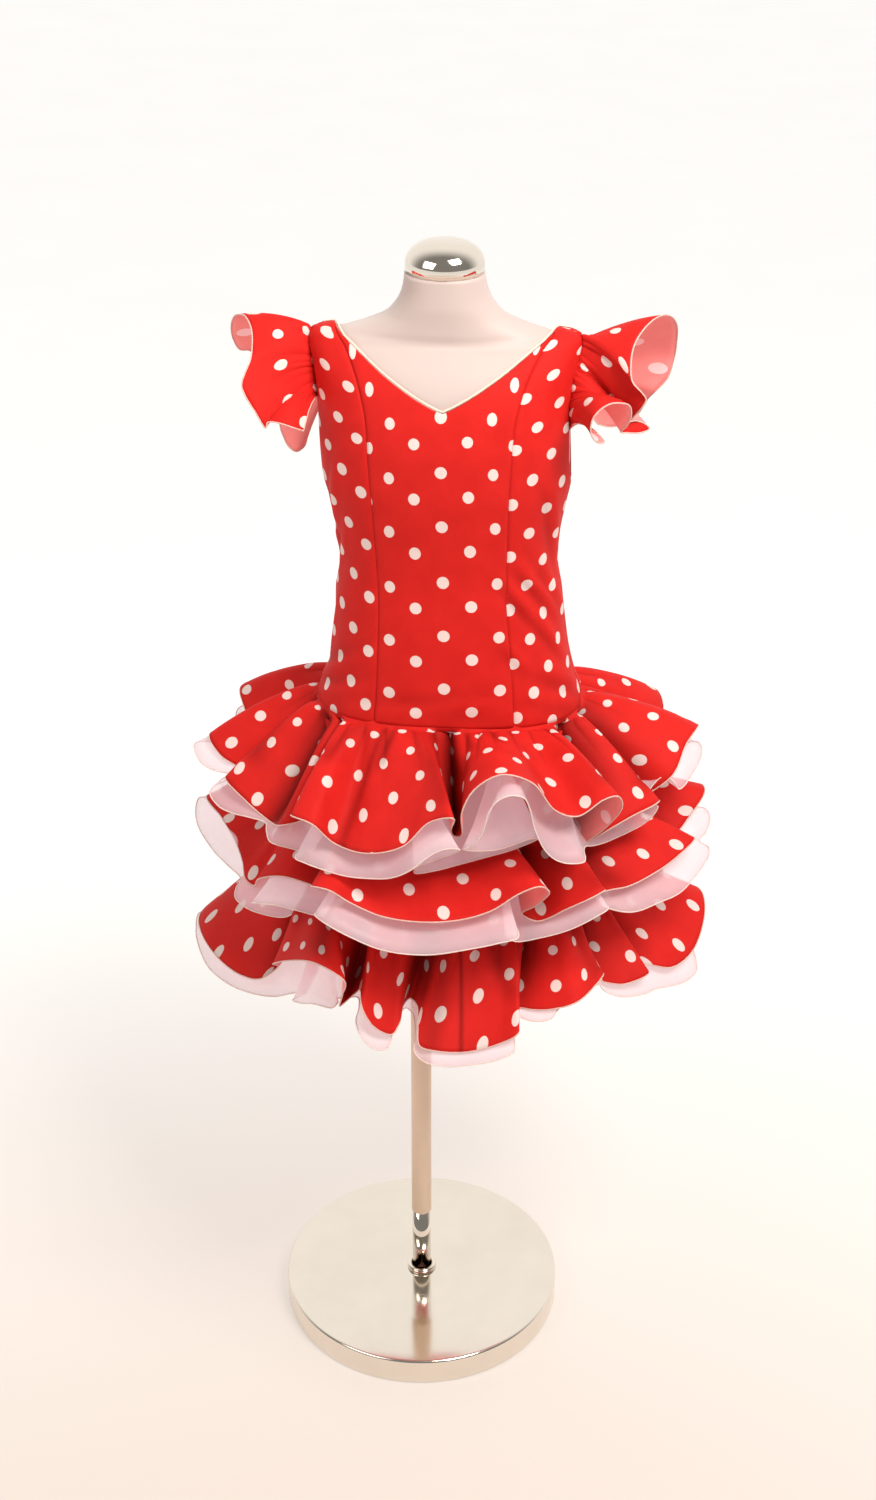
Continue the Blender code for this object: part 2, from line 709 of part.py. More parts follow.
def seam_turns(hem):
    """Turns of the gathered edge: each column's own bearing, evened out."""
    count = len(hem)
    bearings, lengths = [], []
    last = None
    for j in range(count):
        turn = math.atan2(hem[j][0] - FORM_CENTRE_X, -hem[j][1])
        if last is not None:
            while turn - last > math.pi:
                turn -= 2.0 * math.pi
            while turn - last < -math.pi:
                turn += 2.0 * math.pi
        bearings.append(turn)
        last = turn
        step = sub(hem[(j + 1) % count], hem[j])
        lengths.append(math.sqrt(sum(c * c for c in step)))
    total = sum(lengths)
    along = [sum(lengths[:j]) / total for j in range(count)]
    reach = 0.055
    turns = []
    for j in range(count):
        weight_sum, value = 0.0, 0.0
        for lap in (-1, 0, 1):
            for k in range(count):
                gap = along[k] + lap - along[j]
                if abs(gap) < reach:
                    weight = (1.0 - (gap / reach) ** 2) * lengths[k]
                    weight_sum += weight
                    value += weight * (bearings[k] + lap * 2.0 * math.pi)
        turns.append(value / weight_sum)
    even_turns = [2.0 * math.pi * share for share in along]
    offset = sum(turns) / count - sum(even_turns) / count
    return [
        (1.0 - EVEN_GATHER) * turns[j] + EVEN_GATHER * (even_turns[j] + offset)
        for j in range(count)
    ]


def drape(ring, hem, levels, lift, centre):
    """Grid from the gathered ring to the free edge; crests rise, troughs sag."""
    outs = [math.hypot(p[0] - centre, p[1]) for p in hem]
    middle = sum(outs) / len(outs)
    spread = max(outs) - min(outs)
    grid = []
    for v in levels:
        row = []
        for j in range(len(hem)):
            p = mix(ring[j], hem[j], v)
            share = (outs[j] - middle) / spread
            p = add(p, (0.0, 0.0, 1.0), lift * (0.35 + share) * 4.0 * v * (1.0 - v))
            row.append(p)
        grid.append(row)
    return grid


def grid_normals(grid, closed):
    rows, cols = len(grid), len(grid[0])
    normals = []
    for i in range(rows):
        row = []
        for j in range(cols):
            if closed:
                left, right = grid[i][j - 1], grid[i][(j + 1) % cols]
            else:
                left, right = grid[i][max(0, j - 1)], grid[i][min(cols - 1, j + 1)]
            below, above = grid[max(0, i - 1)][j], grid[min(rows - 1, i + 1)][j]
            row.append(unit(cross(sub(above, below), sub(right, left))))
        normals.append(row)
    return normals


def shifted(grid, normals, off):
    return [
        [add(grid[i][j], normals[i][j], off) for j in range(len(grid[0]))]
        for i in range(len(grid))
    ]


def tier(number, folds, ring_point, steps, organza_length, droop, lift):
    """A red ruffle and the organza under it, from the same folds."""
    hem = spline(fold_points(folds), steps, True)
    ring = [ring_point(turn) for turn in seam_turns(hem)]
    levels = (0.0, 0.4, 1.0)
    grid = drape(ring, hem, levels, lift, FORM_CENTRE_X)
    normals = grid_normals(grid, True)
    half = 0.5 * RUFFLE_WALL
    wall(
        "tier%d_ruffle" % number,
        shifted(grid, normals, -half),
        shifted(grid, normals, half),
        "red_cloth",
        True,
    )
    under = shifted(grid, normals, -ORGANZA_DROP)
    for _ in range(ORGANZA_EASE):
        eased = [under[0]]
        for i in range(1, len(under)):
            row = []
            for j in range(len(hem)):
                spot = under[i][j]
                between = mix(under[i][j - 1], under[i][(j + 1) % len(hem)], 0.5)
                pull = sub(between, spot)
                away = sum(pull[k] * normals[i][j][k] for k in range(3))
                row.append(add(spot, pull, 0.7) if away < 0.0 else spot)
            eased.append(row)
        under = eased
    edge = []
    outs = [math.hypot(p[0] - FORM_CENTRE_X, p[1]) for p in hem]
    least, most = min(outs), max(outs)
    for j in range(len(hem)):
        run = unit(sub(grid[-1][j], grid[-2][j]))
        run = unit(add(run, (0.0, 0.0, -1.0), droop))
        out = math.hypot(hem[j][0] - FORM_CENTRE_X, hem[j][1])
        share = (out - least) / (most - least)
        edge.append(add(under[-1][j], run, organza_length * (0.70 + 0.45 * share)))
    under = under[:-1] + [under[-1], edge]
    normals = grid_normals(under, True)
    half = 0.5 * ORGANZA_WALL
    wall(
        "tier%d_organza" % number,
        shifted(under, normals, -half),
        shifted(under, normals, half),
        "organza",
        True,
    )


def skirt_ring(z, stand_off):
    def ring_point(turn):
        point = section_point(SKIRT_SECTIONS, turn, z)
        outward = unit((point[0] - centre_x(z), point[1], 0.0))
        return add(point, outward, stand_off)

    return ring_point


def hip_ring(turn):
    z = hip_z(turn) - 0.0020
    return form_point(turn, z, 0.0024)


def build_skirt():
    inner, outer = [], []
    for row in reversed(SKIRT_SECTIONS):
        z = row[0]
        low_row, high_row = [], []
        for j in range(SKIRT_COLUMNS):
            turn = 2.0 * math.pi * j / SKIRT_COLUMNS
            point = section_point(SKIRT_SECTIONS, turn, z)
            outward = unit((point[0] - centre_x(z), point[1], 0.0))
            low_row.append(add(point, outward, -0.0005))
            high_row.append(add(point, outward, 0.0005))
        inner.append(low_row)
        outer.append(high_row)
    wall("underskirt", inner, outer, "red_cloth", True)
    tier(1, TIER_1_FOLDS, hip_ring, 2, 0.024, 0.35, 0.010)
    tier(2, TIER_2_FOLDS, skirt_ring(0.660, 0.0026), 2, 0.028, 0.45, 0.004)
    tier(3, TIER_3_FOLDS, skirt_ring(0.562, 0.0034), 2, 0.018, 0.45, 0.006)


def sleeve(name, folds, side, column):
    """A ruffle standing out from the armhole, over the shoulder."""
    hem = []
    for out, forward, z in folds:
        hem.append((FORM_CENTRE_X - 0.005 + side * out, -forward, z))
    hem = spline(hem, 2, False)
    count = len(hem)
    rim = []
    for z in (1.030, 1.045, 1.060, 1.075, 1.088, 1.098, 1.105):
        turn = math.pi - math.radians(table_value(ARMHOLE_BACK, z, column))
        rim.append(form_point(side * turn, z, SLEEVE_STAND_OFF))
    rim.append(form_point(side * 0.5 * math.pi, 1.1078, SLEEVE_STAND_OFF))
    for z in (1.105, 1.098, 1.088, 1.075, 1.060, 1.045, 1.032):
        turn = math.radians(table_value(ARMHOLE_FRONT, z, column))
        rim.append(form_point(side * turn, z, SLEEVE_STAND_OFF))
    rim = spline(rim, 4, False)
    ring = []
    for j in range(count):
        place = (len(rim) - 1) * j / (count - 1)
        k = min(int(place), len(rim) - 2)
        ring.append(mix(rim[k], rim[k + 1], place - k))
    grid = []
    for v in (0.0, 0.14, 0.55, 1.0):
        row = []
        for j in range(count):
            p = mix(ring[j], hem[j], v)
            row.append(add(p, (0.0, 0.0, 1.0), 0.008 * 4.0 * v * (1.0 - v)))
        grid.append(row)
    if side > 0.0:
        grid = [row[::-1] for row in grid]
    normals = grid_normals(grid, False)
    half = 0.5 * RUFFLE_WALL
    wall(name, shifted(grid, normals, -half), shifted(grid, normals, half), "red_cloth", False)


def main():
    for obj in list(bpy.data.objects):
        bpy.data.objects.remove(obj, do_unlink=True)
    build_stand()
    build_form()
    build_bodice()
    build_binding()
    build_skirt()
    sleeve("sleeve_ruffle_R", SLEEVE_R_FOLDS, 1.0, 1)
    sleeve("sleeve_ruffle_L", SLEEVE_L_FOLDS, -1.0, 2)


main()
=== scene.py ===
"""Flamenco dress on a dress form: thin cloth, trims, stand and studio.

Everything is in metres, apart from the tables that are given in millimetres,
with the front of the dress facing -Y.  The packed solids are loaded first; each
operator then makes one piece or one group of like pieces around them.
"""

import math

import bmesh
import bpy
from bpy.props import FloatProperty, FloatVectorProperty, IntProperty, PointerProperty
from mathutils import Matrix, Vector
from mathutils.bvhtree import BVHTree


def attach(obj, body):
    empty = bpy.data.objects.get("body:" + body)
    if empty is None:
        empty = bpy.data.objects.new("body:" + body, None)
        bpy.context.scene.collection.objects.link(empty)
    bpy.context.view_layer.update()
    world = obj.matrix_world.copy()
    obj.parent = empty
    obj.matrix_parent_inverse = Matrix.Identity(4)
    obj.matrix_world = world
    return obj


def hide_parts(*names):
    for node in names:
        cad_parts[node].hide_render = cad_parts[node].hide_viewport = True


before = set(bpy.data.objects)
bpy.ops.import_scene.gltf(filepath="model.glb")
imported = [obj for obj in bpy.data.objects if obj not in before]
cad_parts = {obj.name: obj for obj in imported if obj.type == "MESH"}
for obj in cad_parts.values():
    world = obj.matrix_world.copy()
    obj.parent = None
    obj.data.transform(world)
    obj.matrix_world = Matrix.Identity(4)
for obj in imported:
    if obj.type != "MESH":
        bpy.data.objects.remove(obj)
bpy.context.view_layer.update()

bl_info = {
    "name": "Flamenco Dress",
    "version": (1, 0, 0),
    "blender": (4, 5, 0),
    "location": "View3D > Sidebar > Dress",
    "description": "A dotted ruffled dress on a dress form, with its stand and a small studio",
    "category": "Add Mesh",
}


# ------------------------------------------------------------------ sizes
def scaled(rows, plain=()):
    """Rows of millimetres in metres; columns named in plain stay as they are."""
    return tuple(
        tuple(value if k in plain else value / 1000.0 for k, value in enumerate(row))
        for row in rows
    )


BASE_RADIUS = 0.150
BASE_HEIGHT = 0.0307
BASE_EDGE = 0.0030
COLLAR_RADIUS = 0.0158
COLLAR_HEIGHT = 0.0048
POLE_RADIUS = 0.0108
LOWER_TUBE_RADIUS = 0.0101
TUBE_STEP_Z = 0.1120
CAP_RADIUS = 0.0349
CAP_HEIGHT = 0.0270
CAP_RIM = 0.0060
CLEARANCE = 0.0003

FORM_CENTRE_X = 0.0285
FORM_LEAN = 0.0175
LEAN_FROM_Z = 0.80
ROUNDNESS = 2.3
# The form's mean radius, for turning a distance across it into a turn.
FORM_RADIUS = 0.10
THROAT_HALF_WIDTH = 0.075
# How near the points lie that tell which way the form's surface faces.
NEAR_Z = 0.0015
NEAR_TURN = 0.02

CLOTH_MIDDLE = 0.0012
SEAM_GAP = 0.0004
# How deep and how wide (share of a panel) the cloth dips at a seam.
SEAM_DIP = 0.0007
SEAM_DIP_SHARE = 0.035
# Seam allowance: how far off the form it lies, its turn under the neighbour,
# and the shares of it that have a column.
TUCK_OFF = -0.0002
TUCK_TURN = 0.085
TUCK_SHARES = [-1.0, -0.5, -0.04]
STRAP_ARCH = 0.0012
HIP_Z = 0.7560
HIP_FRONT_RISE = 0.0035
V_POINT_Z = 1.0572
V_POINT_SHIFT = 0.017
SHOULDER_Z = 1.1125
ARM_TOP_Z = 1.1078
NECK_HALF_WIDTH = 0.0935
BACK_NECK_Z = 1.0840
# The strap's share of the back panel, and where it begins to narrow.
STRAP_SHARE = 0.22
STRAP_Z = 1.06
ZIP_HALF_WIDTH = 0.0035
BINDING_HEIGHT = 0.0021
SLEEVE_CENTRE_X = 0.0235
SLEEVE_OFF = 0.0006
SLEEVE_TUCK = 0.030
SLEEVE_RISE = 0.006
SLEEVE_GATHERS = 24
SLEEVE_PUFF = 0.0020

# How evenly the gathers are shared out along a seam; 0 leaves each under its fold.
EVEN_GATHER = 0.5
# How much wider than its seam a ruffle is cut at its inner edge.
TIER_GATHER = 1.5
SLEEVE_GATHER = 1.3
# How far along an edge, as a share of it, gathers and folds are evened out.
GATHER_REACH = 0.055
FOLD_REACH = 0.07
# How soon folds form below a gathered seam.
FOLD_RISE = 0.48
# How far a full fold stands out, and how far the deepest one is drawn in.
FOLD_STAND = 0.018
POCKET = 0.014
# How far the organza stays inside the red cloth, and the most it is drawn in.
SHEER_CLEAR = 0.0022
MOST_DRAWN_IN = 0.030

# Mesh: rows and columns of the panels and the plain skirt, then the columns
# for each point of a free edge and the rows of a ruffle.
PANEL_ROWS = 96
CENTRE_COLUMNS = 44
SIDE_COLUMNS = 30
BACK_COLUMNS = 44
SKIRT_ROWS = 28
SKIRT_COLUMNS = 180
RUFFLE_STEPS = 12
RUFFLE_ROWS = 30
SHEER_STEPS = 6
SHEER_ROWS = 12
SLEEVE_STEPS = 8
SLEEVE_ROWS = 20

# Form: height, half width, depth in front, depth behind.
FORM_SECTIONS = scaled((
    (690, 104, 70, 68), (700, 113, 77, 74), (718, 120, 82.5, 79.5), (740, 124.5, 86, 83),
    (758, 124, 86, 82.5), (780, 116.8, 83.5, 79), (802, 111.5, 81, 75.5), (834, 106.9, 78, 71),
    (865, 103.8, 75.5, 68), (895, 99.5, 73.5, 66.5), (925, 101.3, 74.5, 67.5),
    (954, 106.5, 77.5, 71), (983, 112, 80, 75), (1012, 113.5, 80, 77), (1040, 114, 76.5, 76.5),
    (1065, 115, 69, 71), (1085, 117.5, 57, 61), (1099, 119.5, 42, 46), (1107, 118.5, 33, 37),
    (1113, 97.5, 29, 33), (1119, 75, 29.5, 33), (1127, 54, 33, 34.5), (1138, 43, 36, 36),
    (1150, 38.5, 36, 36), (1162, 36.5, 36, 36),
))

# How far the form stands inside the cloth's own surface: height, inset, drop.
FORM_INSETS = scaled((
    (690, 2, 0), (985, 2, 0), (1010, 2.8, 0), (1085, 2.8, 0), (1099, 3, 1), (1107, 5.2, 3.4),
    (1119, 3, 2.8), (1138, 1.6, 0), (1162, 1.6, 0),
))

# How far the form's throat is filled out in front: height, distance.
FORM_THROAT = scaled((
    (1090, 0), (1099, 1.5), (1107, 5), (1113, 7.8), (1119, 6.8), (1127, 3), (1138, 0.3),
    (1150, 0),
))

# Underskirt: height, half width, depth in front, depth behind.
SKIRT_SECTIONS = scaled((
    (559.5, 154, 120, 120), (600, 148, 114, 114), (660, 140, 105, 105), (710, 132, 95, 93),
    (744, 126.2, 87.8, 84.8),
))

# Princess seams: height, distance from the centre line.
PRINCESS_SEAM = scaled((
    (750, 62.5), (820, 58.2), (877, 55.8), (945, 57.6), (1008, 61.1), (1042, 63.7), (1074.5, 72),
    (1100, 85), (1112.5, 96.5),
))

# How much farther out the two seams run: height, on +X, on -X.
SEAM_SHIFTS = scaled((
    (750, 3.5, 3), (830, 2.5, 3.2), (900, 0.5, 3.4), (1000, 0, 3), (1060, 0, 1), (1100, 0, 0),
))

# Armhole edge in front: height, turn from the front on +X and on -X (degrees).
ARMHOLE_FRONT = scaled((
    (975, 89.6, 89.6), (979, 84, 87), (988, 78.5, 84), (1005, 74.5, 82), (1040, 73, 81),
    (1070, 73.5, 81), (1090, 78, 83), (1102, 84, 86.5), (1108.5, 89.4, 89.4),
), plain=(1, 2))

# Armhole edge behind: height, turn from the back on +X and on -X (degrees).
ARMHOLE_BACK = scaled((
    (975, 89.6, 89.6), (980, 82, 82), (992, 75, 75), (1010, 71, 71), (1040, 69, 69),
    (1070, 70, 70), (1090, 76, 76), (1102, 83, 83), (1108.5, 89.4, 89.4),
), plain=(1, 2))

# Free edges of the three ruffles, read round from behind the left side.
# The numbers go in threes along the rows: a turn from the front in degrees,
# a distance out from the form's centre line and a height, both in millimetres.
TIER_1_FOLDS = (
    (-122, 222, 700, -112, 236, 706, -102, 212, 688, -90, 236, 697, -84, 222, 686),
    (-79, 196, 676, -74, 219, 684, -66, 206, 673, -58, 192, 662, -46, 200, 680),
    (-43, 188, 684, -40.2, 176, 690, -38.3, 212, 707, -31.8, 210, 706, -28.2, 195, 683),
    (-17.7, 200, 685, -7.6, 202, 700, -1.1, 198, 724, 5, 208, 735, 4.6, 190, 712),
    (5.8, 166, 692, 7.6, 190, 708, 7.2, 203, 738, 10.2, 203, 760, 16.7, 206, 775),
    (24.4, 208, 764, 31.1, 208, 730, 36.5, 214, 722, 41.9, 224, 737, 44.9, 228, 738),
    (49.1, 220, 716, 49.2, 202, 688, 47.5, 180, 662, 53, 199, 681, 58, 210, 690),
    (64, 218, 692, 68, 218, 690, 69.5, 202, 680, 72.5, 194, 676, 76, 221, 702),
    (83, 228, 721, 90, 238, 726, 97, 238, 712, 104, 205, 690, 113, 226, 700),
    (121, 232, 706, 130, 216, 692, 137, 186, 674, 145, 212, 690, 155, 216, 700),
    (164, 184, 670, 172, 206, 694, 182, 212, 702, 191, 184, 670, 200, 208, 688),
    (211, 218, 698, 221, 188, 674),
)
TIER_2_FOLDS = (
    (-98, 251, 608, -88.5, 227, 606, -80.5, 212, 598, -72.5, 207, 590, -68, 208, 582),
    (-64.5, 203, 580, -59.5, 203, 598, -49.5, 192, 615, -38, 176, 612, -29.8, 222, 649),
    (-24.7, 222, 651, -20.4, 215, 639, -13, 211, 629, -3, 210, 627, 6.9, 211, 631),
    (14.5, 214, 641, 20.8, 221, 660, 25.1, 226, 667, 28, 222, 656, 26.9, 206, 634),
    (25, 188, 615, 29, 193, 607, 34.8, 214, 627, 39.2, 226, 639, 42.5, 228, 643),
    (46.5, 195, 616, 51, 205, 619, 57, 212, 616, 65, 224, 620, 72, 234, 624),
    (79, 244, 630, 83, 224, 618, 87.5, 232, 626, 93, 250, 646, 100, 248, 640),
    (108, 215, 610, 117, 238, 620, 127, 236, 622, 137, 202, 600, 146, 222, 614),
    (157, 220, 616, 166, 190, 598, 175, 212, 612, 186, 214, 614, 195, 190, 598),
    (205, 222, 612, 217, 230, 616, 230, 206, 600, 241, 240, 612, 248, 236, 610),
    (255, 222, 602),
)
TIER_3_FOLDS = (
    (-95, 262, 472, -86, 252, 472, -76, 233, 469, -68, 217, 470, -61.5, 204, 478),
    (-59, 188, 492, -52, 204, 516, -43, 206, 538, -30, 218, 562, -20.9, 226, 560),
    (-23.6, 212, 532, -28.5, 190, 500, -26.5, 184, 508, -23.2, 189, 521, -20.2, 199, 533),
    (-16.9, 221, 530, -13.9, 222, 513, -10, 214, 502, -8.9, 203, 507, -9.6, 180, 511),
    (-8.6, 164, 509, -5.6, 174, 509, -4.2, 195, 503, -3, 212, 491, 0.6, 214, 488),
    (8.5, 216, 488, 16.6, 222, 499, 20.7, 226, 510, 22.2, 207, 511, 24, 194, 514),
    (27.2, 203, 516, 30.4, 214, 520, 35.5, 226, 528, 44, 216, 530, 49, 208, 530),
    (50.5, 186, 512, 53.5, 197, 507, 59, 208, 499, 65, 222, 503, 69.5, 212, 500),
    (74, 234, 492, 82, 250, 496, 91, 258, 518, 99, 254, 521, 108, 226, 500),
    (118, 246, 500, 128, 242, 500, 138, 208, 488, 147, 226, 496, 158, 224, 498),
    (168, 194, 488, 178, 216, 496, 190, 218, 496, 200, 194, 486, 211, 226, 492),
    (224, 236, 490, 237, 210, 480, 246, 236, 480, 252, 244, 478, 258, 252, 476),
)

# Main creases of the ruffles: turn at the seam and at the hem, where each
# starts and ends between them, half width in degrees, depth and painted shade.
TIER_1_CREASES = (
    (-84, -70, 0, 0.7, 4, 0.004, 0.5), (-66, -54, 0, 0.95, 5.5, 0.009, 0.95),
    (-45, -38, 0, 0.4, 2.5, 0.002, 0.4), (-32.5, -26, 0, 1, 1.8, 0.002, 0.5),
    (-26.7, -25, 0, 0.3, 2, 0.002, 0.55), (-5.5, 6, 0, 0.8, 4, 0.005, 0.45),
    (4.2, 12, 0, 0.45, 2.2, 0.003, 0.55), (13, 16, 0, 0.22, 1.8, 0.001, 0.4),
    (25, 28, 0, 0.25, 2, 0.001, 0.35), (66, 47, 0, 0.8, 6, 0.009, 0.8),
    (84, 66, 0, 0.8, 4.5, 0.006, 0.65), (150, 153, 0, 0.8, 3.5, 0.004, 0.45),
    (176, 179, 0, 0.5, 3, 0.003, 0.4), (207, 204, 0, 0.8, 3.5, 0.004, 0.45),
)
TIER_2_CREASES = (
    (-30, -33, 0.1, 0.9, 3, 0.003, 0.4), (38, 43, 0, 0.9, 4, 0.004, 0.45),
    (58, 53, 0, 0.9, 4, 0.004, 0.45), (150, 148, 0, 0.8, 3.5, 0.004, 0.4),
    (212, 209, 0, 0.8, 3.5, 0.004, 0.4),
)
TIER_3_CREASES = (
    (-44.6, -30, 0, 0.8, 4, 0.005, 0.6), (3.4, -0.5, 0, 0.95, 3, 0.003, 0.45),
    (9, 7.3, 0, 1.1, 0.6, 0.0006, 0.8), (21.5, 22, 0, 0.6, 3, 0.004, 0.5),
    (50.6, 48, 0, 0.9, 4, 0.005, 0.5), (150, 153, 0, 0.8, 3.5, 0.004, 0.4),
    (207, 205, 0, 0.8, 3.5, 0.004, 0.4),
)

# Free edges of the organza under them, read the same way.
ORGANZA_1_EDGE = (
    (-123.3, 229, 674, -112.5, 243, 679, -102, 225, 668, -92.7, 253, 682, -88.6, 251, 682),
    (-85.3, 243, 676, -83.1, 231, 673, -80.1, 216, 675, -77.7, 224, 674, -75.2, 235, 667),
    (-71.7, 229, 659, -67.1, 218, 659, -63, 207, 661, -58.3, 196, 661, -54.7, 201, 660),
    (-50, 206, 658, -45.1, 198, 657, -41.2, 190, 656, -39.2, 185, 656, -39.1, 196, 664),
    (-38.3, 210, 662, -34.3, 212, 663, -29.6, 210, 662, -22.9, 206, 660, -16.1, 205, 663),
    (-10.4, 209, 670, -5.4, 214, 683, 0.3, 213, 702, 3.9, 214, 708, 6.9, 214, 707),
    (5.3, 205, 697, 0.7, 193, 683, -4.4, 183, 668, -5.9, 173, 655, -0.3, 166, 655),
    (7.6, 164, 661, 15.3, 168, 669, 22.7, 173, 676, 30.1, 181, 687, 26.6, 186, 692),
    (18.7, 182, 684, 10.9, 189, 689, 7.1, 202, 700, 9.1, 211, 708, 11.4, 218, 724),
    (12.7, 224, 750, 14.8, 227, 763, 17.6, 228, 767, 20.6, 228, 763, 22.5, 225, 749),
    (24.1, 222, 726, 26.7, 223, 702, 29.5, 225, 690, 32.6, 228, 685, 36, 230, 684),
    (39.2, 213, 683, 44.1, 196, 673, 50.2, 186, 661, 54.9, 186, 657, 59.3, 190, 657),
    (62.3, 198, 661, 64.7, 207, 667, 65.6, 216, 678, 66.5, 219, 688, 68.9, 206, 678),
    (71.3, 200, 681, 73.8, 204, 692, 75.3, 212, 700, 75.6, 222, 698, 77.3, 228, 686),
    (82.8, 238, 695, 88.6, 244, 702, 94.7, 242, 700, 99.8, 235, 688, 103.6, 217, 671),
    (113.2, 237, 678, 121.4, 243, 681, 129.4, 226, 671, 137.5, 195, 656, 146.4, 219, 669),
    (155, 221, 671, 164.1, 194, 653, 173, 215, 671, 181.1, 218, 674, 190.2, 194, 653),
    (200.1, 216, 666, 209.5, 222, 670, 220.1, 197, 656),
)
ORGANZA_2_EDGE = (
    (-99.9, 262, 600, -95.5, 261, 598, -88.9, 252, 595, -83.3, 241, 592, -78.5, 231, 588),
    (-74.2, 220, 583, -70.7, 211, 576, -68.9, 217, 571, -67, 220, 565, -63.1, 214, 561),
    (-57.7, 204, 562, -51.7, 192, 566, -48.8, 188, 574, -50, 194, 582, -54, 207, 583),
    (-55.4, 218, 584, -51.3, 214, 590, -47, 205, 592, -42.2, 197, 592, -37.4, 190, 591),
    (-33.7, 190, 595, -30.8, 210, 613, -28.4, 227, 623, -24, 236, 625, -19, 235, 618),
    (-10.8, 230, 606, -0.9, 229, 605, 8.9, 231, 613, 15, 234, 619, 19.4, 235, 623),
    (20.3, 218, 623, 19.5, 197, 603, 22.6, 193, 590, 28.3, 204, 596, 34.2, 220, 608),
    (38.4, 231, 620, 42, 236, 628, 44.7, 219, 621, 46.7, 208, 613, 50.2, 211, 602),
    (55.9, 221, 593, 63.6, 232, 592, 70.6, 241, 589, 77.3, 250, 595, 82.8, 257, 601),
    (86, 256, 604, 87.7, 247, 606, 89.5, 253, 611, 93.6, 258, 617, 99.1, 254, 615),
    (107.6, 230, 588, 117.5, 250, 595, 127, 246, 593, 137.4, 215, 579, 147.3, 232, 589),
    (156.7, 229, 590, 166.2, 202, 579, 175.7, 222, 589, 184.6, 223, 589, 194.1, 201, 579),
    (205, 231, 588, 216, 238, 589, 229.2, 219, 578, 239.9, 248, 584, 247.4, 250, 585),
    (255, 237, 578),
)
ORGANZA_3_EDGE = (
    (-98.1, 269, 464, -93.9, 267, 457, -87.8, 259, 456, -80.7, 247, 450, -73.5, 229, 448),
    (-65.5, 212, 454, -57.8, 197, 463, -50.3, 188, 479, -44.8, 183, 489, -42.4, 198, 494),
    (-41.3, 210, 498, -36.8, 215, 505, -32.4, 214, 511, -27.6, 208, 510, -27.9, 195, 508),
    (-30.7, 184, 502, -29.4, 177, 501, -24.8, 179, 508, -21.9, 194, 508, -20, 213, 506),
    (-16.9, 225, 501, -13.3, 226, 491, -10.6, 220, 490, -10.3, 206, 496, -10.1, 185, 502),
    (-9.4, 167, 500, -7, 173, 497, -5.4, 193, 492, -4.5, 212, 485, -2.5, 217, 479),
    (0.3, 222, 478, 3.7, 223, 477, 9.3, 225, 480, 15.2, 230, 487, 19.6, 229, 493),
    (20.9, 217, 498, 21.3, 202, 506, 21.5, 196, 518, 23, 201, 512, 26.5, 212, 510),
    (30, 219, 514, 32.6, 216, 520, 38, 213, 520, 44, 208, 522, 48.4, 206, 518),
    (51.3, 202, 506, 54.1, 203, 496, 58.1, 210, 487, 64.2, 221, 481, 68.5, 227, 479),
    (71.8, 234, 475, 75.9, 246, 472, 80.3, 255, 474, 83.2, 253, 479, 88.2, 249, 483),
    (93.1, 258, 498, 98.5, 257, 504, 107.6, 234, 484, 118.2, 248, 482, 127.8, 242, 480),
    (138.2, 214, 472, 148.2, 227, 478, 157.8, 223, 479, 168.3, 200, 473, 179, 217, 479),
    (189, 218, 478, 199.7, 199, 471, 211.8, 226, 474, 223.6, 232, 471, 236.6, 214, 462),
    (245.9, 240, 462, 252, 249, 461, 258.5, 257, 460),
)

# Free edges of the sleeve ruffles, from behind, over the shoulder, to the
# front: distance out from the neck's middle, forward and height (millimetres).
SLEEVE_L_CURLS = (
    (141, -45, 1003, 131, -30, 1001, 129, -18, 997, 131, -10, 993, 137, -4, 991),
    (144, -4, 996, 149, -10, 1003, 153, -20, 1007, 158, -38, 1023, 168, -50, 1044),
    (178, -52, 1062, 183, -47, 1071, 192, -46, 1072, 197, -42, 1083, 196, -30, 1099),
    (191, -18, 1111, 184, -6, 1117, 176, 8, 1119, 169, 22, 1113, 166, 38, 1103),
    (166, 50, 1094, 170, 60, 1084, 172, 66, 1076, 168, 70, 1067, 160, 73, 1055),
    (151, 75, 1041, 149, 74, 1046, 138, 76, 1046, 127, 74, 1042, 119, 68, 1037),
)
SLEEVE_R_CURLS = (
    (136, -50, 1009, 147, -58, 1004, 160, -64, 1005, 171, -64, 1013, 177, -60, 1024),
    (181, -54, 1034, 187, -47, 1043, 197, -48, 1055, 202, -46, 1075, 203, -34, 1095),
    (202, -20, 1112, 197, -6, 1124, 190, 4, 1129, 181, 14, 1128, 171, 26, 1121),
    (164, 38, 1111, 162, 50, 1098, 164, 58, 1086, 173, 62, 1077, 176, 62, 1072),
    (173, 60, 1064, 166, 54, 1053, 163, 48, 1047, 169, 40, 1045, 177, 36, 1041),
    (181, 36, 1037, 178, 40, 1036, 171, 46, 1036, 162, 52, 1038, 156, 56, 1040),
    (161, 62, 1048, 164, 68, 1059, 162, 73, 1070, 155, 76, 1073, 146, 79, 1073),
    (138, 82, 1069, 132, 83, 1062, 130, 82, 1054, 131, 79, 1044, 137, 74, 1036),
    (142, 68, 1035, 138, 62, 1038, 131, 58, 1042),
)

# How the print bows over the centre panel: flat distance from the middle, drop.
PRINT_BOW = scaled((
    (-60, 8.2), (-44.5, 8.2), (-32.7, 0.2), (-19, 0.2), (-7, 0), (7, 0), (18.7, -3), (32.7, -3),
    (44.5, 2.2), (60, 2.2),
))

# How far the print hangs down the centre panel: height, drop.
PRINT_DROP = scaled((
    (765, -3), (790, -1), (850, 0), (893, 0.8), (920, -0.8), (960, -3), (996, -2.5), (1023, -1.5),
    (1050, 2),
))

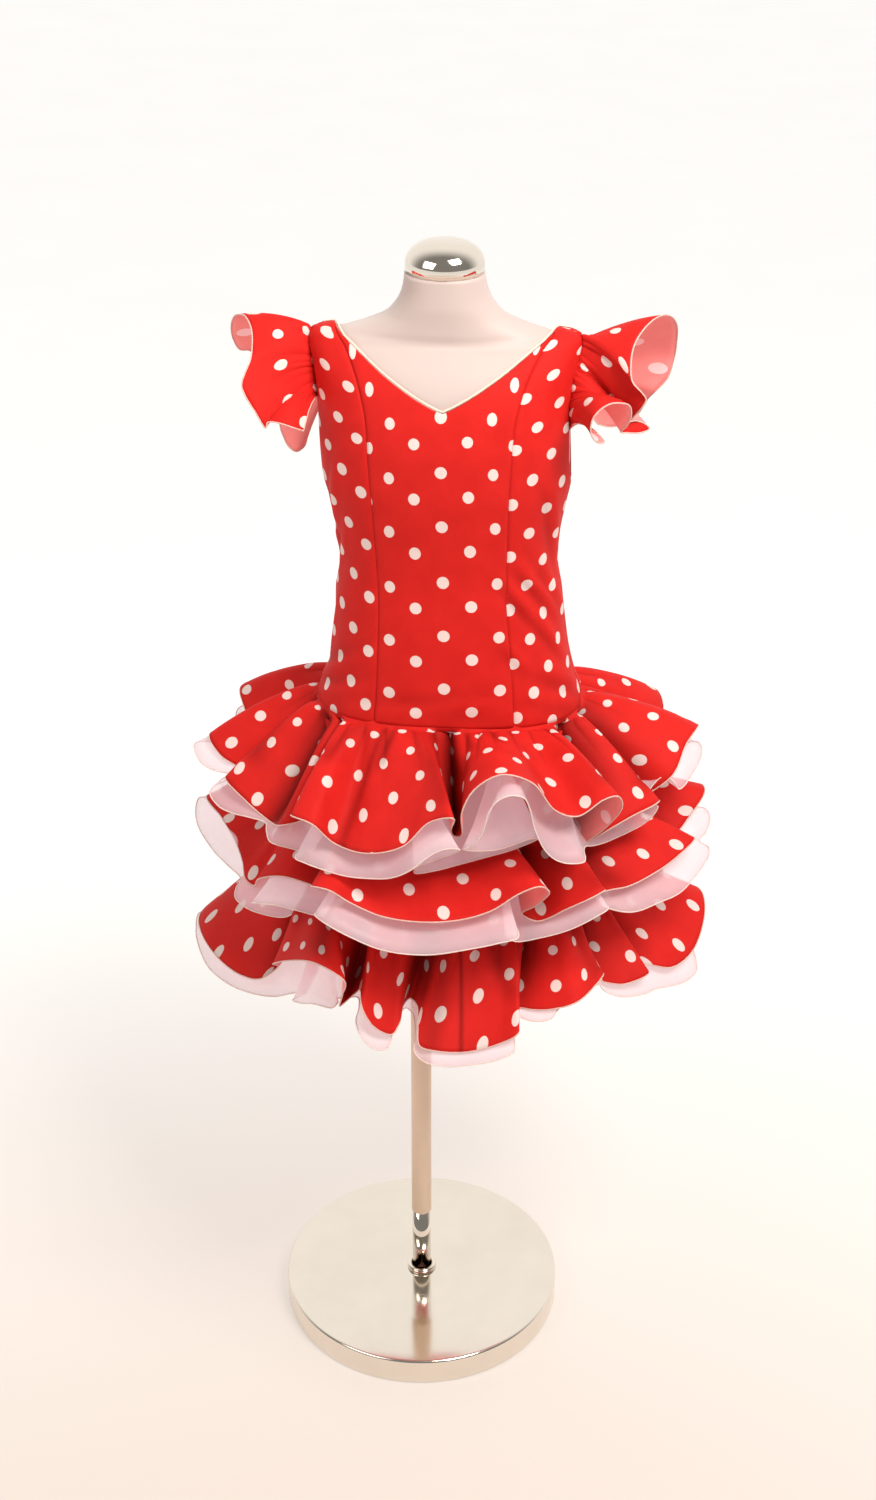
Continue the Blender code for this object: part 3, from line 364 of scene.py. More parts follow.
# The same for the side fronts, where the cloth leans back over the shoulder.
SIDE_DROP = scaled(((1015, 0), (1050, 7), (1090, 19), (1112, 30)))
# How the print lies on each panel: stretch across, lean, slide across and up.
# The side fronts are cut on a slant.
CENTRE_GRAIN = (1.0, 0.0, 0.0014, -0.953)
BACK_GRAIN = (1.0, 0.0, 0.012, 0.0)
SIDE_GRAIN = {
    "R": (1.40, 0.27, -0.0028, -0.9240),
    "L": (1.35, -0.45, 0.0122, -0.9338),
}

# How far the organza lies inside its fold: share from seam to edge, distance.
ORGANZA_SAG = scaled(((0, 1.5), (0.15, 3), (0.4, 7), (0.75, 5.5), (1, 1)), plain=(0,))

CAMERA_PLACE = (0.15698, -1.77734, 1.65737)

# The tiers: number, folds, creases, organza's edge, seam (height and how far
# it stands off the underskirt; None is the hip), lift and depth of the folds,
# gathers and how far they stand, share of the organza's sag, and the turns
# between which the organza shows.
TIERS = (
    (1, TIER_1_FOLDS, TIER_1_CREASES, ORGANZA_1_EDGE, None,
     0.010, 1.6, 40, 0.0036, 1.0, (-20.0, 72.0)),
    (2, TIER_2_FOLDS, TIER_2_CREASES, ORGANZA_2_EDGE, (0.660, 0.0030),
     0.006, 1.3, 46, 0.0026, 0.4, (0.0, 0.0)),
    (3, TIER_3_FOLDS, TIER_3_CREASES, ORGANZA_3_EDGE, (0.562, 0.0034),
     0.004, 1.2, 46, 0.0026, 1.0, (-60.0, 60.0)),
)

# Soft creases of the bodice: turn from the front and height of the middle,
# slant (degrees from upright), half length, half width, how far it stands.
BODICE_CREASES = scaled((
    (39, 879, -35.6, 24, 5.2, 1.4), (54, 887, -44.1, 38, 5.5, 1.6),
    (57.5, 845, -41.1, 36, 5.2, 1.3), (35, 826, -36.5, 21, 5.5, 0.8),
    (-74.5, 936, -23.1, 24, 7, -0.9), (-78.5, 829, 15.4, 30, 6.5, 0.7),
    (-70, 790, 62, 50, 7, 1.1), (-62, 772, 70, 45, 6, 0.9), (-66, 955, 28, 50, 8, 1.2),
    (-72, 900, 35, 45, 7, 0.8), (70, 790, -60, 50, 7, 1.1), (58, 775, -72, 40, 6, 0.9),
    (66, 950, -28, 50, 8, 1.2), (70, 885, -38, 50, 7, 0.9), (-12, 772, 80, 45, 7, 0.7),
    (15, 780, -78, 40, 7, 0.6), (150, 800, 60, 50, 8, 1), (-150, 805, -60, 50, 8, 1),
    (160, 900, 72, 40, 7, 0.8), (-160, 905, -72, 40, 7, 0.8), (118, 960, 35, 50, 8, 1),
    (-118, 955, -35, 50, 8, 1),
), plain=(0, 2))
# How much they are raised and how much painted shade they get, and how far from its middle each
# reaches.
CREASE_DEPTH = 1.8
CREASE_SHADE = 0.45
CREASE_REACH = 0.09


# ------------------------------------------------------------ form surface
def clamp(value, low=0.0, high=1.0):
    return max(low, min(high, value))


def bell(x):
    """1 at zero, falling off softly on both sides."""
    return math.exp(-x * x)


def hump(share):
    """0 at both ends of the way and 1 in its middle."""
    return 4.0 * share * (1.0 - share)


def wrapped(degrees):
    """A difference of turns, brought between -180 and 180 degrees."""
    return degrees - 360.0 * round(degrees / 360.0)


def signed_power(value, power):
    return math.copysign(abs(value) ** power, value)


def bearing(point):
    """Turn of a point about the form's middle; 0 is the front."""
    return math.atan2(point.x - FORM_CENTRE_X, -point.y)


def outward(point, x=FORM_CENTRE_X):
    """Level direction to a point from the upright line through (x, 0)."""
    return Vector((point.x - x, point.y, 0.0)).normalized()


def table_value(table, key, column):
    """Smooth (monotone cubic) value of one column at a first-column key."""
    last = len(table) - 1
    if key <= table[0][0]:
        return table[0][column]
    if key >= table[last][0]:
        return table[last][column]
    i = next(k for k in range(last) if table[k + 1][0] >= key)

    def chord(j):
        return (table[j][column] - table[j - 1][column]) / (table[j][0] - table[j - 1][0])

    def slope(j):
        if j <= 0 or j >= last:
            return chord(clamp(j, 1, last))
        a, b = chord(j), chord(j + 1)
        return 2.0 * a * b / (a + b) if a * b > 0.0 else 0.0

    m0, m1 = (slope(i), slope(i + 1)) if chord(i + 1) else (0.0, 0.0)
    h = table[i + 1][0] - table[i][0]
    t = (key - table[i][0]) / h
    return (
        table[i][column] * (1 + 2 * t) * (1 - t) ** 2
        + m0 * h * t * (1 - t) ** 2
        + table[i + 1][column] * t * t * (3 - 2 * t)
        + m1 * h * t * t * (t - 1)
    )


def centre_x(z):
    return FORM_CENTRE_X - FORM_LEAN * max(0.0, z - LEAN_FROM_Z)


def section_point(table, turn, z):
    """Point of a superellipse section; turn 0 is the front, 90 degrees is +X."""
    half = table_value(table, z, 1)
    depth = table_value(table, z, 2 if math.cos(turn) > 0.0 else 3)
    x = half * signed_power(math.sin(turn), 2.0 / ROUNDNESS)
    return Vector((x + centre_x(z), -depth * signed_power(math.cos(turn), 2.0 / ROUNDNESS), z))


def turn_at(table, x, z):
    """Turn (radians) where the section's front reaches the distance x."""
    ratio = min(1.0, abs(x) / table_value(table, z, 1))
    return math.copysign(math.asin(ratio ** (ROUNDNESS / 2.0)), x)


def form_point(turn, z, off):
    """Point at a distance off the form's surface."""
    low = max(FORM_SECTIONS[0][0], z - NEAR_Z)
    high = min(FORM_SECTIONS[-1][0], z + NEAR_Z)
    ahead = section_point(FORM_SECTIONS, turn + NEAR_TURN, z)
    along = ahead - section_point(FORM_SECTIONS, turn - NEAR_TURN, z)
    up = section_point(FORM_SECTIONS, turn, high) - section_point(FORM_SECTIONS, turn, low)
    return section_point(FORM_SECTIONS, turn, z) + along.cross(up).normalized() * off


def hip_z(turn):
    return HIP_Z + HIP_FRONT_RISE * math.cos(2.0 * turn)


# ------------------------------------------------------------ mesh helpers
def even(count, low=0.0, high=1.0):
    return [low + (high - low) * k / count for k in range(count + 1)]


def arc(x, z, radius, first, last):
    """Points of a rounded edge of a profile, between two angles in degrees."""
    return [
        (x + radius * math.cos(a), z + radius * math.sin(a))
        for a in even(5, math.radians(first), math.radians(last))
    ]


def spline(points, steps, closed):
    """Centripetal Catmull-Rom through the points, steps samples a span."""
    count = len(points)
    spans = count if closed else count - 1
    result = []
    for i in range(spans):
        if closed:
            quad = [points[(i + k - 1) % count] for k in range(4)]
        else:
            quad = [points[clamp(i + k - 1, 0, count - 1)] for k in range(4)]
            if i == 0:
                quad[0] = quad[1] - (quad[2] - quad[1]) * 0.5
            if i == spans - 1:
                quad[3] = quad[2] - (quad[1] - quad[2]) * 0.5
        knots = [0.0]
        for k in range(3):
            knots.append(knots[-1] + max(1e-6, (quad[k + 1] - quad[k]).length) ** 0.5)
        for t in even(steps, knots[1], knots[2])[:-1]:
            ends = quad
            for reach in (1, 2):
                ends = [
                    ends[k].lerp(ends[k + 1], (t - knots[k]) / (knots[k + reach] - knots[k]))
                    for k in range(4 - reach)
                ]
            result.append(ends[0].lerp(ends[1], (t - knots[1]) / (knots[2] - knots[1])))
    if not closed:
        result.append(points[-1].copy())
    return result


def grid_normals(grid, closed):
    """Normal at each place of a grid whose rows fall."""
    cols = len(grid[0])
    normals = []
    for i, row in enumerate(grid):
        above, below = grid[max(0, i - 1)], grid[min(len(grid) - 1, i + 1)]
        line = []
        for j in range(cols):
            left, right = j - 1, (j + 1) % cols
            if not closed:
                left, right = max(0, left), min(cols - 1, j + 1)
            line.append((below[j] - above[j]).cross(row[right] - row[left]).normalized())
        normals.append(line)
    return normals


def lengths_along(row, closed=False):
    """Running length at each point of a row, with the closing span if closed."""
    result = [0.0]
    for a, b in zip(row, row[1:] + row[:1] if closed else row[1:]):
        result.append(result[-1] + (b - a).length)
    return result


def linked(name, data):
    obj = bpy.data.objects.new(name, data)
    bpy.context.scene.collection.objects.link(obj)
    return obj


def as_object(name, bm, finishes):
    for face in bm.faces:
        face.smooth = True
    mesh = bpy.data.meshes.new(name)
    bm.to_mesh(mesh)
    bm.free()
    for finish in finishes:
        mesh.materials.append(finish)
    return linked(name, mesh)


def grid_places(bm, rows, spans):
    """Fills a mesh with a grid and tells each corner's row and column."""
    bmesh.ops.create_grid(bm, x_segments=spans, y_segments=rows - 1, size=0.5)
    return {
        v: (round((v.co.y + 0.5) * (rows - 1)), round((v.co.x + 0.5) * spans)) for v in bm.verts
    }


def welded(name, bm, finish):
    """The object of a closed mesh, joined where it meets, facing outward."""
    bmesh.ops.remove_doubles(bm, verts=bm.verts, dist=1e-6)
    bmesh.ops.recalc_face_normals(bm, faces=bm.faces)
    return as_object(name, bm, [finish])


def cloth(name, points, flat_places, closed, finishes, thick, rising=False, grain=(0.0, 0.0),
          shade=None):
    """A thin sheet through rows of points, which fall or rise row by row.

    flat_places are the UVs on the cut of the cloth; grain says how much
    wider than true, and how far leant, the cut is on its grain.
    """
    rows, cols = len(points), len(points[0])
    bm = bmesh.new()
    # The fold map carries painted shade for folds and creases, which darkens the cloth's colour.
    layers = [bm.loops.layers.uv.new(key) for key in ("cloth", "grain", "fold")]
    place = grid_places(bm, rows, cols if closed else cols - 1)
    for face in bm.faces:
        for loop in face.loops:
            i, j = place[loop.vert]
            dark = shade[i][j % cols] if shade else 0.0
            for layer, value in zip(layers, (flat_places[i][j], grain, (dark, 0.0))):
                loop[layer].uv = value
    for vert, (i, j) in place.items():
        vert.co = points[i][j % cols]
    if closed:
        bmesh.ops.remove_doubles(bm, verts=bm.verts, dist=1e-7)
    if not rising:
        bmesh.ops.reverse_faces(bm, faces=bm.faces)
    obj = as_object(name, bm, finishes)
    wall = obj.modifiers.new("thickness", "SOLIDIFY")
    wall.thickness = thick
    wall.offset = 0.0
    wall.use_quality_normals = True
    wall.material_offset = len(finishes) - 1
    return obj


def bead(name, path, radius, closed, finish):
    """A round cord of thread along a path, made a mesh."""
    curve = bpy.data.curves.new(name + "_line", "CURVE")
    curve.dimensions = "3D"
    line = curve.splines.new("POLY")
    line.points.add(len(path) - 1)
    for spot, point in zip(line.points, path):
        spot.co = (*point, 1.0)
    line.use_cyclic_u = closed
    curve.bevel_depth = radius
    curve.bevel_resolution = 2
    curve.use_fill_caps = True
    holder = linked(name + "_line", curve)
    bpy.context.view_layer.update()
    solid = holder.evaluated_get(bpy.context.evaluated_depsgraph_get())
    mesh = bpy.data.meshes.new_from_object(solid)
    bpy.data.objects.remove(holder)
    bpy.data.curves.remove(curve)
    mesh.name = name
    mesh.materials.clear()
    mesh.materials.append(finish)
    for face in mesh.polygons:
        face.use_smooth = True
    return linked(name, mesh)


def turned(name, profile, x, finish, steps=96):
    """A solid of revolution about an upright line through (x, 0)."""
    bm = bmesh.new()
    verts = [bm.verts.new((x + radius, 0.0, z)) for radius, z in profile]
    edges = [bm.edges.new(ends) for ends in zip(verts, verts[1:])]
    bmesh.ops.spin(
        bm, geom=verts + edges, cent=(x, 0.0, 0.0), axis=(0.0, 0.0, 1.0),
        angle=2.0 * math.pi, steps=steps, use_merge=True,
    )
    return welded(name, bm, finish)


def piece(obj, slot, *nodes):
    """Every piece rides on the one body and stands for its nodes."""
    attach(obj, "root")
    if nodes:
        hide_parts(*nodes)
    return obj


# --------------------------------------------------------------- materials
def fill(tree, node, sockets):
    """Gives each named socket a number, a colour or another node's output."""
    for key, value in sockets.items():
        if isinstance(value, bpy.types.NodeSocket):
            tree.links.new(value, node.inputs[key])
        else:
            node.inputs[key].default_value = value
    return node


def add_node(tree, kind, sockets, **settings):
    node = tree.nodes.new("ShaderNode" + kind)
    for name, value in settings.items():
        setattr(node, name, value)
    return fill(tree, node, sockets)


def new_finish(name):
    """A material with its node tree and its Principled shader."""
    finish = bpy.data.materials.new(name)
    finish.use_nodes = True
    return finish, finish.node_tree, finish.node_tree.nodes["Principled BSDF"]


def math_node(tree, operation, *values):
    return add_node(tree, "Math", dict(enumerate(values)), operation=operation).outputs[0]


def vector_node(tree, operation, *values):
    node = add_node(tree, "VectorMath", dict(enumerate(values)), operation=operation)
    return node.outputs["Value" if operation == "LENGTH" else "Vector"]


def ramp(tree, value, low, high, start=0.0, end=1.0, smooth=False):
    sockets = {"Value": value, "From Min": low, "From Max": high, "To Min": start, "To Max": end}
    kind = "SMOOTHSTEP" if smooth else "LINEAR"
    return add_node(tree, "MapRange", sockets, interpolation_type=kind).outputs["Result"]


def blend_colour(tree, share, first, second):
    sockets = {"Factor": share}
    for key, value in (("A", first), ("B", second)):
        linkable = isinstance(value, bpy.types.NodeSocket)
        sockets[key] = value if linkable else (*value[:3], 1.0)
    return add_node(tree, "Mix", sockets, data_type="RGBA").outputs["Result"]


def noise(tree, place, scale, detail=2.0, rough=0.5):
    sockets = {"Scale": scale, "Detail": detail, "Roughness": rough, "Vector": place}
    return add_node(tree, "TexNoise", sockets).outputs["Fac"]


def weave_height(tree, place, thread):
    """Height of crossing threads, a thread's distance apart both ways."""
    ways = [
        add_node(
            tree, "TexWave", {"Scale": math.pi / (10.0 * thread), "Vector": place},
            bands_direction=way,
        ).outputs["Fac"]
        for way in ("X", "Y")
    ]
    return math_node(tree, "MULTIPLY", *ways)


def bump(tree, shader, height, distance, strength):
    sockets = {"Distance": distance, "Strength": strength, "Height": height}
    fill(tree, shader, {"Normal": add_node(tree, "Bump", sockets).outputs["Normal"]})


def uv_place(tree, name="cloth"):
    """Place on the cut of the cloth, in metres, or another map's values."""
    return add_node(tree, "UVMap", {}, uv_map=name).outputs["UV"]


def parts_of(tree, vector):
    return add_node(tree, "SeparateXYZ", {"Vector": vector}).outputs


def object_place(tree):
    return add_node(tree, "TexCoord", {}).outputs["Object"]


def dot_share(tree, place, cloth_set):
    """1 inside the printed dots and 0 on the ground between them."""
    across, down = cloth_set.dot_across, cloth_set.dot_down
    grain = parts_of(tree, uv_place(tree, "grain"))
    wide = math_node(tree, "ADD", grain["X"], 1.0)
    spots = vector_node(tree, "DIVIDE", place, (across, down, 1.0))
    distances = []
    for shift in (0.5, 0.0):
        cell = vector_node(tree, "FRACTION", vector_node(tree, "ADD", spots, (shift, shift, 0.0)))
        middle = vector_node(tree, "SUBTRACT", cell, (0.5, 0.5, 0.0))
        parts = parts_of(tree, vector_node(tree, "MULTIPLY", middle, (across, down, 0.0)))
        run = math_node(tree, "DIVIDE", parts["X"], wide)
        fall = math_node(tree, "MULTIPLY", run, grain["Y"])
        rise = math_node(tree, "SUBTRACT", parts["Y"], fall)
        squares = [math_node(tree, "MULTIPLY", side, side) for side in (run, rise)]
        distances.append(math_node(tree, "SQRT", math_node(tree, "ADD", *squares)))
    ragged = math_node(tree, "MULTIPLY", noise(tree, place, 900.0), 0.0005)
    edge = math_node(tree, "ADD", math_node(tree, "MINIMUM", *distances), ragged)
    radius = 0.5 * cloth_set.dot_size
    return ramp(tree, edge, radius, radius + 0.0005, 1.0, 0.0, smooth=True)


def dotted_cloth(name, ground, deep, dots, roughness, sheen, glow):
    """The printed cloth: dots, weave and uneven colour, with painted shade in the depths of folds
    and creases and, when glow is given, a painted glow for light through the cloth.
    """
    cloth_set = bpy.context.scene.dress_cloth
    finish, tree, shader = new_finish(name)
    place = uv_place(tree)
    weave = weave_height(tree, place, cloth_set.thread)
    soft = noise(tree, place, 38.0, 4.0)
    base = blend_colour(tree, ramp(tree, soft, 0.30, 0.72), deep, ground)
    base = blend_colour(tree, ramp(tree, weave, 0.0, 1.0, 0.06, 0.0), base, deep)
    colour = blend_colour(tree, dot_share(tree, place, cloth_set), base, dots)
    # Painted shade: the fold map darkens the colour in the depths of folds and creases, standing
    # in for the shade that falls there.
    fold = parts_of(tree, uv_place(tree, "fold"))["X"]
    light = math_node(tree, "MULTIPLY_ADD", fold, -cloth_set.valley, 1.0)
    colour = vector_node(tree, "MULTIPLY", colour, light)
    # Painted glow: emission standing in for light that comes through the cloth.
    if glow > 0.0:
        fill(tree, shader, {"Emission Color": colour, "Emission Strength": glow})
    bump(tree, shader, weave, 0.00012, 0.35)
    fill(tree, shader, {
        "Base Color": colour,
        "Roughness": ramp(tree, soft, 0.2, 0.8, roughness - 0.05, roughness + 0.06),
        "Specular IOR Level": 0.07,
        "Sheen Weight": sheen,
        "Sheen Roughness": 0.45,
        "Sheen Tint": (1.0, 0.35, 0.30, 1.0),
    })
    return finish


def organza_finish():
    """Sheer cloth with its own thread, with a painted glow for the light that comes through it."""
    sheer = bpy.context.scene.dress_organza
    finish, tree, shader = new_finish("sheer_organza")
    place = uv_place(tree)
    weave = weave_height(tree, place, sheer.thread)
    tone = ramp(tree, noise(tree, place, 25.0, 3.0), 0.3, 0.7)
    colour = blend_colour(tree, tone, sheer.shade, sheer.colour)
    bump(tree, shader, weave, 0.00008, 0.25)
    fill(tree, shader, {
        "Base Color": colour,
        "Roughness": ramp(tree, weave, 0.0, 1.0, 0.42, 0.30),
        "Alpha": sheer.cover,
        # Painted glow: emission standing in for light that comes through the sheer cloth.
        "Emission Color": colour,
        "Emission Strength": sheer.through,
        "Sheen Weight": 0.35,
        "Sheen Roughness": 0.35,
        "Specular IOR Level": 0.40,
    })
    return finish


def plain_finish(name, colours, tone, rough, relief, sockets):
    """Two close colours, an uneven roughness and a fine grain.

    tone and rough hold a noise and the numbers of its ramp; relief holds a
    noise, its height and its strength.
    """
    finish, tree, shader = new_finish(name)
    place = object_place(tree)
    share = ramp(tree, noise(tree, place, *tone[0]), *tone[1:])
    fill(tree, shader, {
        "Base Color": blend_colour(tree, share, *colours),
        "Roughness": ramp(tree, noise(tree, place, *rough[0]), *rough[1:]),
        **sockets,
    })
    bump(tree, shader, noise(tree, place, *relief[0]), *relief[1:])
    return finish


def thread_finish(name, colour, shade):
    """Thread rolled or bound round an edge."""
    grain = (900.0, 3.0, 0.6)
    return plain_finish(
        name, (shade, colour), (grain, 0.35, 0.65), (grain, 0.3, 0.7, 0.50, 0.66),
        (grain, 0.0002, 0.5), {"Sheen Weight": 0.3},
    )


def cover_finish():
    """The form's smooth stretched cover."""
    cover = bpy.context.scene.dress_form
    grain = (1400.0, 2.0, 0.6)
    return plain_finish(
        "form_cover_jersey", (cover.shade, cover.colour), ((9.0, 3.0), 0.35, 0.7),
        (grain, 0.3, 0.7, 0.52, 0.62), (grain, 0.0001, 0.25), {"Sheen Weight": 0.25},
    )


def darker(colour, share):
    return [part * share for part in colour], colour


def chrome_finish(name, colour, roughness, spread):
    """Polished metal, a little smeared."""
    smear = (14.0, 4.0, 0.6)
    return plain_finish(
        name, darker(colour, 0.94), (smear, 0.3, 0.7),
        (smear, 0.25, 0.75, roughness, roughness + spread), ((700.0, 2.0), 0.00002, 0.04),
        {"Metallic": 1.0},
    )


def tube_finish(colour):
    """The painted upper tube of the pole."""
    smear = (30.0, 3.0)
    return plain_finish(
        "pole_paint", darker(colour, 0.95), (smear, 0.3, 0.7), (smear, 0.3, 0.7, 0.38, 0.46),
        ((900.0,), 0.00003, 0.1), {},
    )


def backdrop_finish():
    """Pale paper floor with painted shade: darker and warmer where it is near, white far away."""
    stage_set = bpy.context.scene.dress_stage
    finish, tree, shader = new_finish("backdrop_paper")
    place = object_place(tree)
    distance = vector_node(tree, "LENGTH", vector_node(tree, "ADD", place, (0.0, 1.2, 0.0)))
    share = ramp(tree, distance, 0.7, 2.4, smooth=True)
    # Painted shade: the paper is darker and warmer near the stand and white far away.
    colour = blend_colour(tree, share, stage_set.floor_near, stage_set.floor_far)
    fill(tree, shader, {
        "Base Color": colour,
        "Emission Color": colour,
        "Emission Strength": 3.0 * stage_set.floor_glow,
        "Roughness": ramp(tree, noise(tree, place, 3.0), 0.3, 0.7, 0.60, 0.75),
        "Specular IOR Level": 0.2,
    })
    return finish


def finish_named(name, make, *values):
    return bpy.data.materials.get(name) or make(*values)


def red_finishes():
    """The cloth's right side and its wrong side."""
    values = bpy.context.scene.dress_cloth
    right, wrong = "dotted_red_cloth", "dotted_cloth_reverse"
    return [
        finish_named(
            right, dotted_cloth, right, values.ground, values.deep, values.dots, 0.58, 0.02, 0.0
        ),
        # The wrong side glows with values.through: a painted glow for light through the cloth.
        finish_named(
            wrong, dotted_cloth, wrong, values.reverse, values.reverse_deep, values.reverse_dots,
            0.62, 0.05, values.through,
        ),
    ]


def thread_named(name, values, part="hem"):
    """The thread of an edge, made once from its group's colours."""
    colours = getattr(values, part), getattr(values, part + "_shade")
    return finish_named(name, thread_finish, name, *colours)


# ------------------------------------------------------------------ bodice
def crease_height(turn, z):
    """How far the bodice's cloth stands off at a place, and how much painted shade it gets."""
    height, shade = 0.0, 0.0
    for middle, level, slant, length, width, stand in BODICE_CREASES:
        across = math.radians(wrapped(math.degrees(turn) - middle)) * FORM_RADIUS
        up = z - level
        if abs(across) > CREASE_REACH or abs(up) > CREASE_REACH:
            continue
        a = math.radians(slant)
        run = bell((up * math.cos(a) + across * math.sin(a)) / length)
        side = (across * math.cos(a) - up * math.sin(a)) / width
        ridge, trough = run * bell(side), run * bell(side + 1.7)
        height += CREASE_DEPTH * stand * (ridge - 0.7 * trough)
        shade += stand / 0.0016 * (trough - 0.3 * ridge)
    return height, clamp(shade)


def neck_x(z):
    """Half width of the front neckline at a height."""
    share = max(0.0, (z - V_POINT_Z) / (SHOULDER_Z - V_POINT_Z))
    return NECK_HALF_WIDTH * share ** 0.98


def seam_x(z, side):
    """Distance of a princess seam from the centre line."""
    return table_value(PRINCESS_SEAM, z, 1) + table_value(SEAM_SHIFTS, z, 1 if side > 0.0 else 2)


def neck_height(share):
    """Height where the neckline cuts the centre panel's line at this share."""
    low, high = V_POINT_Z, SHOULDER_Z
    for _ in range(40):
        middle = 0.5 * (low + high)
        if neck_x(middle) < share * table_value(PRINCESS_SEAM, middle, 1):
            low = middle
        else:
            high = middle
    return low


def back_top(s):
    """Height of the back panel's upper edge, from the armhole to the zip."""
    dip = 0.5 - 0.5 * math.cos(math.pi * max(0.0, (s - STRAP_SHARE) / (1.0 - STRAP_SHARE)))
    top = ARM_TOP_Z + (SHOULDER_Z - ARM_TOP_Z) * min(1.0, s / STRAP_SHARE)
    return top + (BACK_NECK_Z - SHOULDER_Z) * dip


def back_bend(s, z):
    """Share of the way from the armhole to the zip; the strap stays narrow."""
    if z <= STRAP_Z or s <= 0.0:
        return s
    return s ** (1.0 + 0.9 * (z - STRAP_Z) / (SHOULDER_Z - STRAP_Z))


def back_start(z, column):
    """Turn of the back edge of the armhole."""
    return math.pi - math.radians(table_value(ARMHOLE_BACK, z, column))


def zip_reach(half_width, z):
    """Half the turn that a strip as wide as this takes up at the back."""
    return (half_width / table_value(FORM_SECTIONS, z, 1)) ** (ROUNDNESS / 2.0)


def centre_bow(x, z):
    return table_value(PRINT_BOW, x, 1) + table_value(PRINT_DROP, z, 1)


def side_bow(x, z):
    return table_value(SIDE_DROP, z, 1)


def front_centre_place(s, t):
    top = neck_height(abs(s))
    s += V_POINT_SHIFT * (1.0 - abs(s))
    foot = hip_z(0.5 * s)
    z = foot + (top - foot) * t
    return s * (turn_at(FORM_SECTIONS, seam_x(z, s), z) - SEAM_GAP / FORM_RADIUS), z


def side_place(side, top, foot, t, ends, bent):
    """Turn and height on a side or back panel.

    ends tells the panel's two edges at a height, and bent how a share of the
    way across runs there; shares below zero are tucked under the neighbour.
    """
    z = foot + (top - foot) * t
    start, end = ends(z)
    share = bent(z)
    return side * (start + (TUCK_TURN * share if share < 0.0 else (end - start) * share)), z


def front_side_place(side):
    def ends(z):
        end = math.radians(table_value(ARMHOLE_FRONT, z, 1 if side > 0.0 else 2))
        start = turn_at(FORM_SECTIONS, seam_x(z, side), z) + SEAM_GAP / FORM_RADIUS
        return min(start, end - 0.012), end

    def place(s, t):
        top = SHOULDER_Z + (ARM_TOP_Z - SHOULDER_Z) * max(0.0, s)
        return side_place(side, top, hip_z(math.radians(35.0 + 54.0 * s)), t, ends, lambda z: s)

    return place


def back_place(side):
    def ends(z):
        start = back_start(z, 1 if side > 0.0 else 2)
        return start, math.pi - zip_reach(ZIP_HALF_WIDTH + SEAM_GAP, z)

    def place(s, t):
        foot = hip_z(math.radians(90.0 + 90.0 * s))
        return side_place(side, back_top(max(0.0, s)), foot, t, ends, lambda z: back_bend(s, z))

    return place


def strap_far_side(side):
    """The back panel's upper edge, met by the front side panel's."""
    place = back_place(side)

    def far(s):
        return form_point(*place(STRAP_SHARE * (1.0 - max(0.0, s)), 1.0), CLOTH_MIDDLE)

    return far


def zip_place(s, t):
    foot = hip_z(math.pi)
    z = foot + (BACK_NECK_Z - foot) * t
    return math.pi - zip_reach(ZIP_HALF_WIDTH, z) * s, z


def panel(name, shares, rows, place, finishes, thick, start, grain, bridge=None,
          bow=lambda x, z: 0.0):
    """A bodice panel; shares below start are the seam allowance tucked under.

    grain is the cut's stretch across, lean and slides; bridge gives the far
    side of the shoulder, which closes the strap; bow tells how far the print
    hangs down at a place on the cut.
    """
    wide, lean, slide_x, slide_z = grain
    zero = min(range(len(shares)), key=lambda j: abs(shares[j]))
    points, flat_places, shade = [], [], []
    for t in rows:
        line, heights, dark = [], [], []
        for s in shares:
            turn, z = place(s, t)
            dip = SEAM_DIP * bell(min(abs(s - start), abs(1.0 - abs(s))) / SEAM_DIP_SHARE)
            height, shaded = crease_height(turn, z)
            off = CLOTH_MIDDLE - dip + height * min(1.0, 12.0 * t)
            line.append(form_point(turn, z, TUCK_OFF if s < start else off))
            heights.append(z)
            # Painted shade in the creases' troughs, kept in the fold map.
            dark.append(CREASE_SHADE * shaded)
        run = lengths_along(line)
        marks = []
        for r, z in zip(run, heights):
            x = r - run[zero]
            flat_x = wide * x + slide_x
            marks.append((flat_x, z + lean * x + slide_z + bow(flat_x, z)))
        points.append(line)
        flat_places.append(marks)
        shade.append(dark)
    if bridge:
        edge, places = points[-1], flat_places[-1]
        for q in even(6)[1:]:
            line = [a.lerp(bridge(s), q) for a, s in zip(edge, shares)]
            for p in line:
                p.z += STRAP_ARCH * hump(q)
            points.append(line)
            far = (line[len(line) // 2] - edge[len(edge) // 2]).length
            flat_places.append([(x, z + far) for x, z in places])
            shade.append(shade[-1])
    obj = cloth(name, points, flat_places, False, finishes, thick, True, (wide - 1.0, lean), shade)
    width = max(lengths_along(line)[-1] for line in points)
    length = max(lengths_along(column)[-1] for column in zip(*points))
    return obj


# ---------------------------------------------------------------- ruffles
def threes(rows):
    """Numbers of the rows, which may be of any length, taken three at a time."""
    values = [value for row in rows for value in row]
    return zip(values[::3], values[1::3], values[2::3])


def fold_points(rows):
    """Points of a free edge, from degrees and millimetres."""
    return [
        Vector((
            FORM_CENTRE_X + out / 1000.0 * math.sin(math.radians(turn)),
            -out / 1000.0 * math.cos(math.radians(turn)), z / 1000.0,
        ))
        for turn, out, z in threes(rows)
    ]


def local_mean(values, run, reach, lap_step):
    """Each value averaged with its neighbours along a closed edge."""
    total, result = run[-1], []
    count = len(values)
    for j in range(count):
        weights, value = 0.0, 0.0
        for lap in (-1, 0, 1):
            for k in range(count):
                gap = (run[k] - run[j]) / total + lap
                if abs(gap) < reach:
                    weight = (1.0 - (gap / reach) ** 2) * (run[k + 1] - run[k])
                    weights += weight
                    value += weight * (values[k] + lap * lap_step)
        result.append(value / weights)
    return result


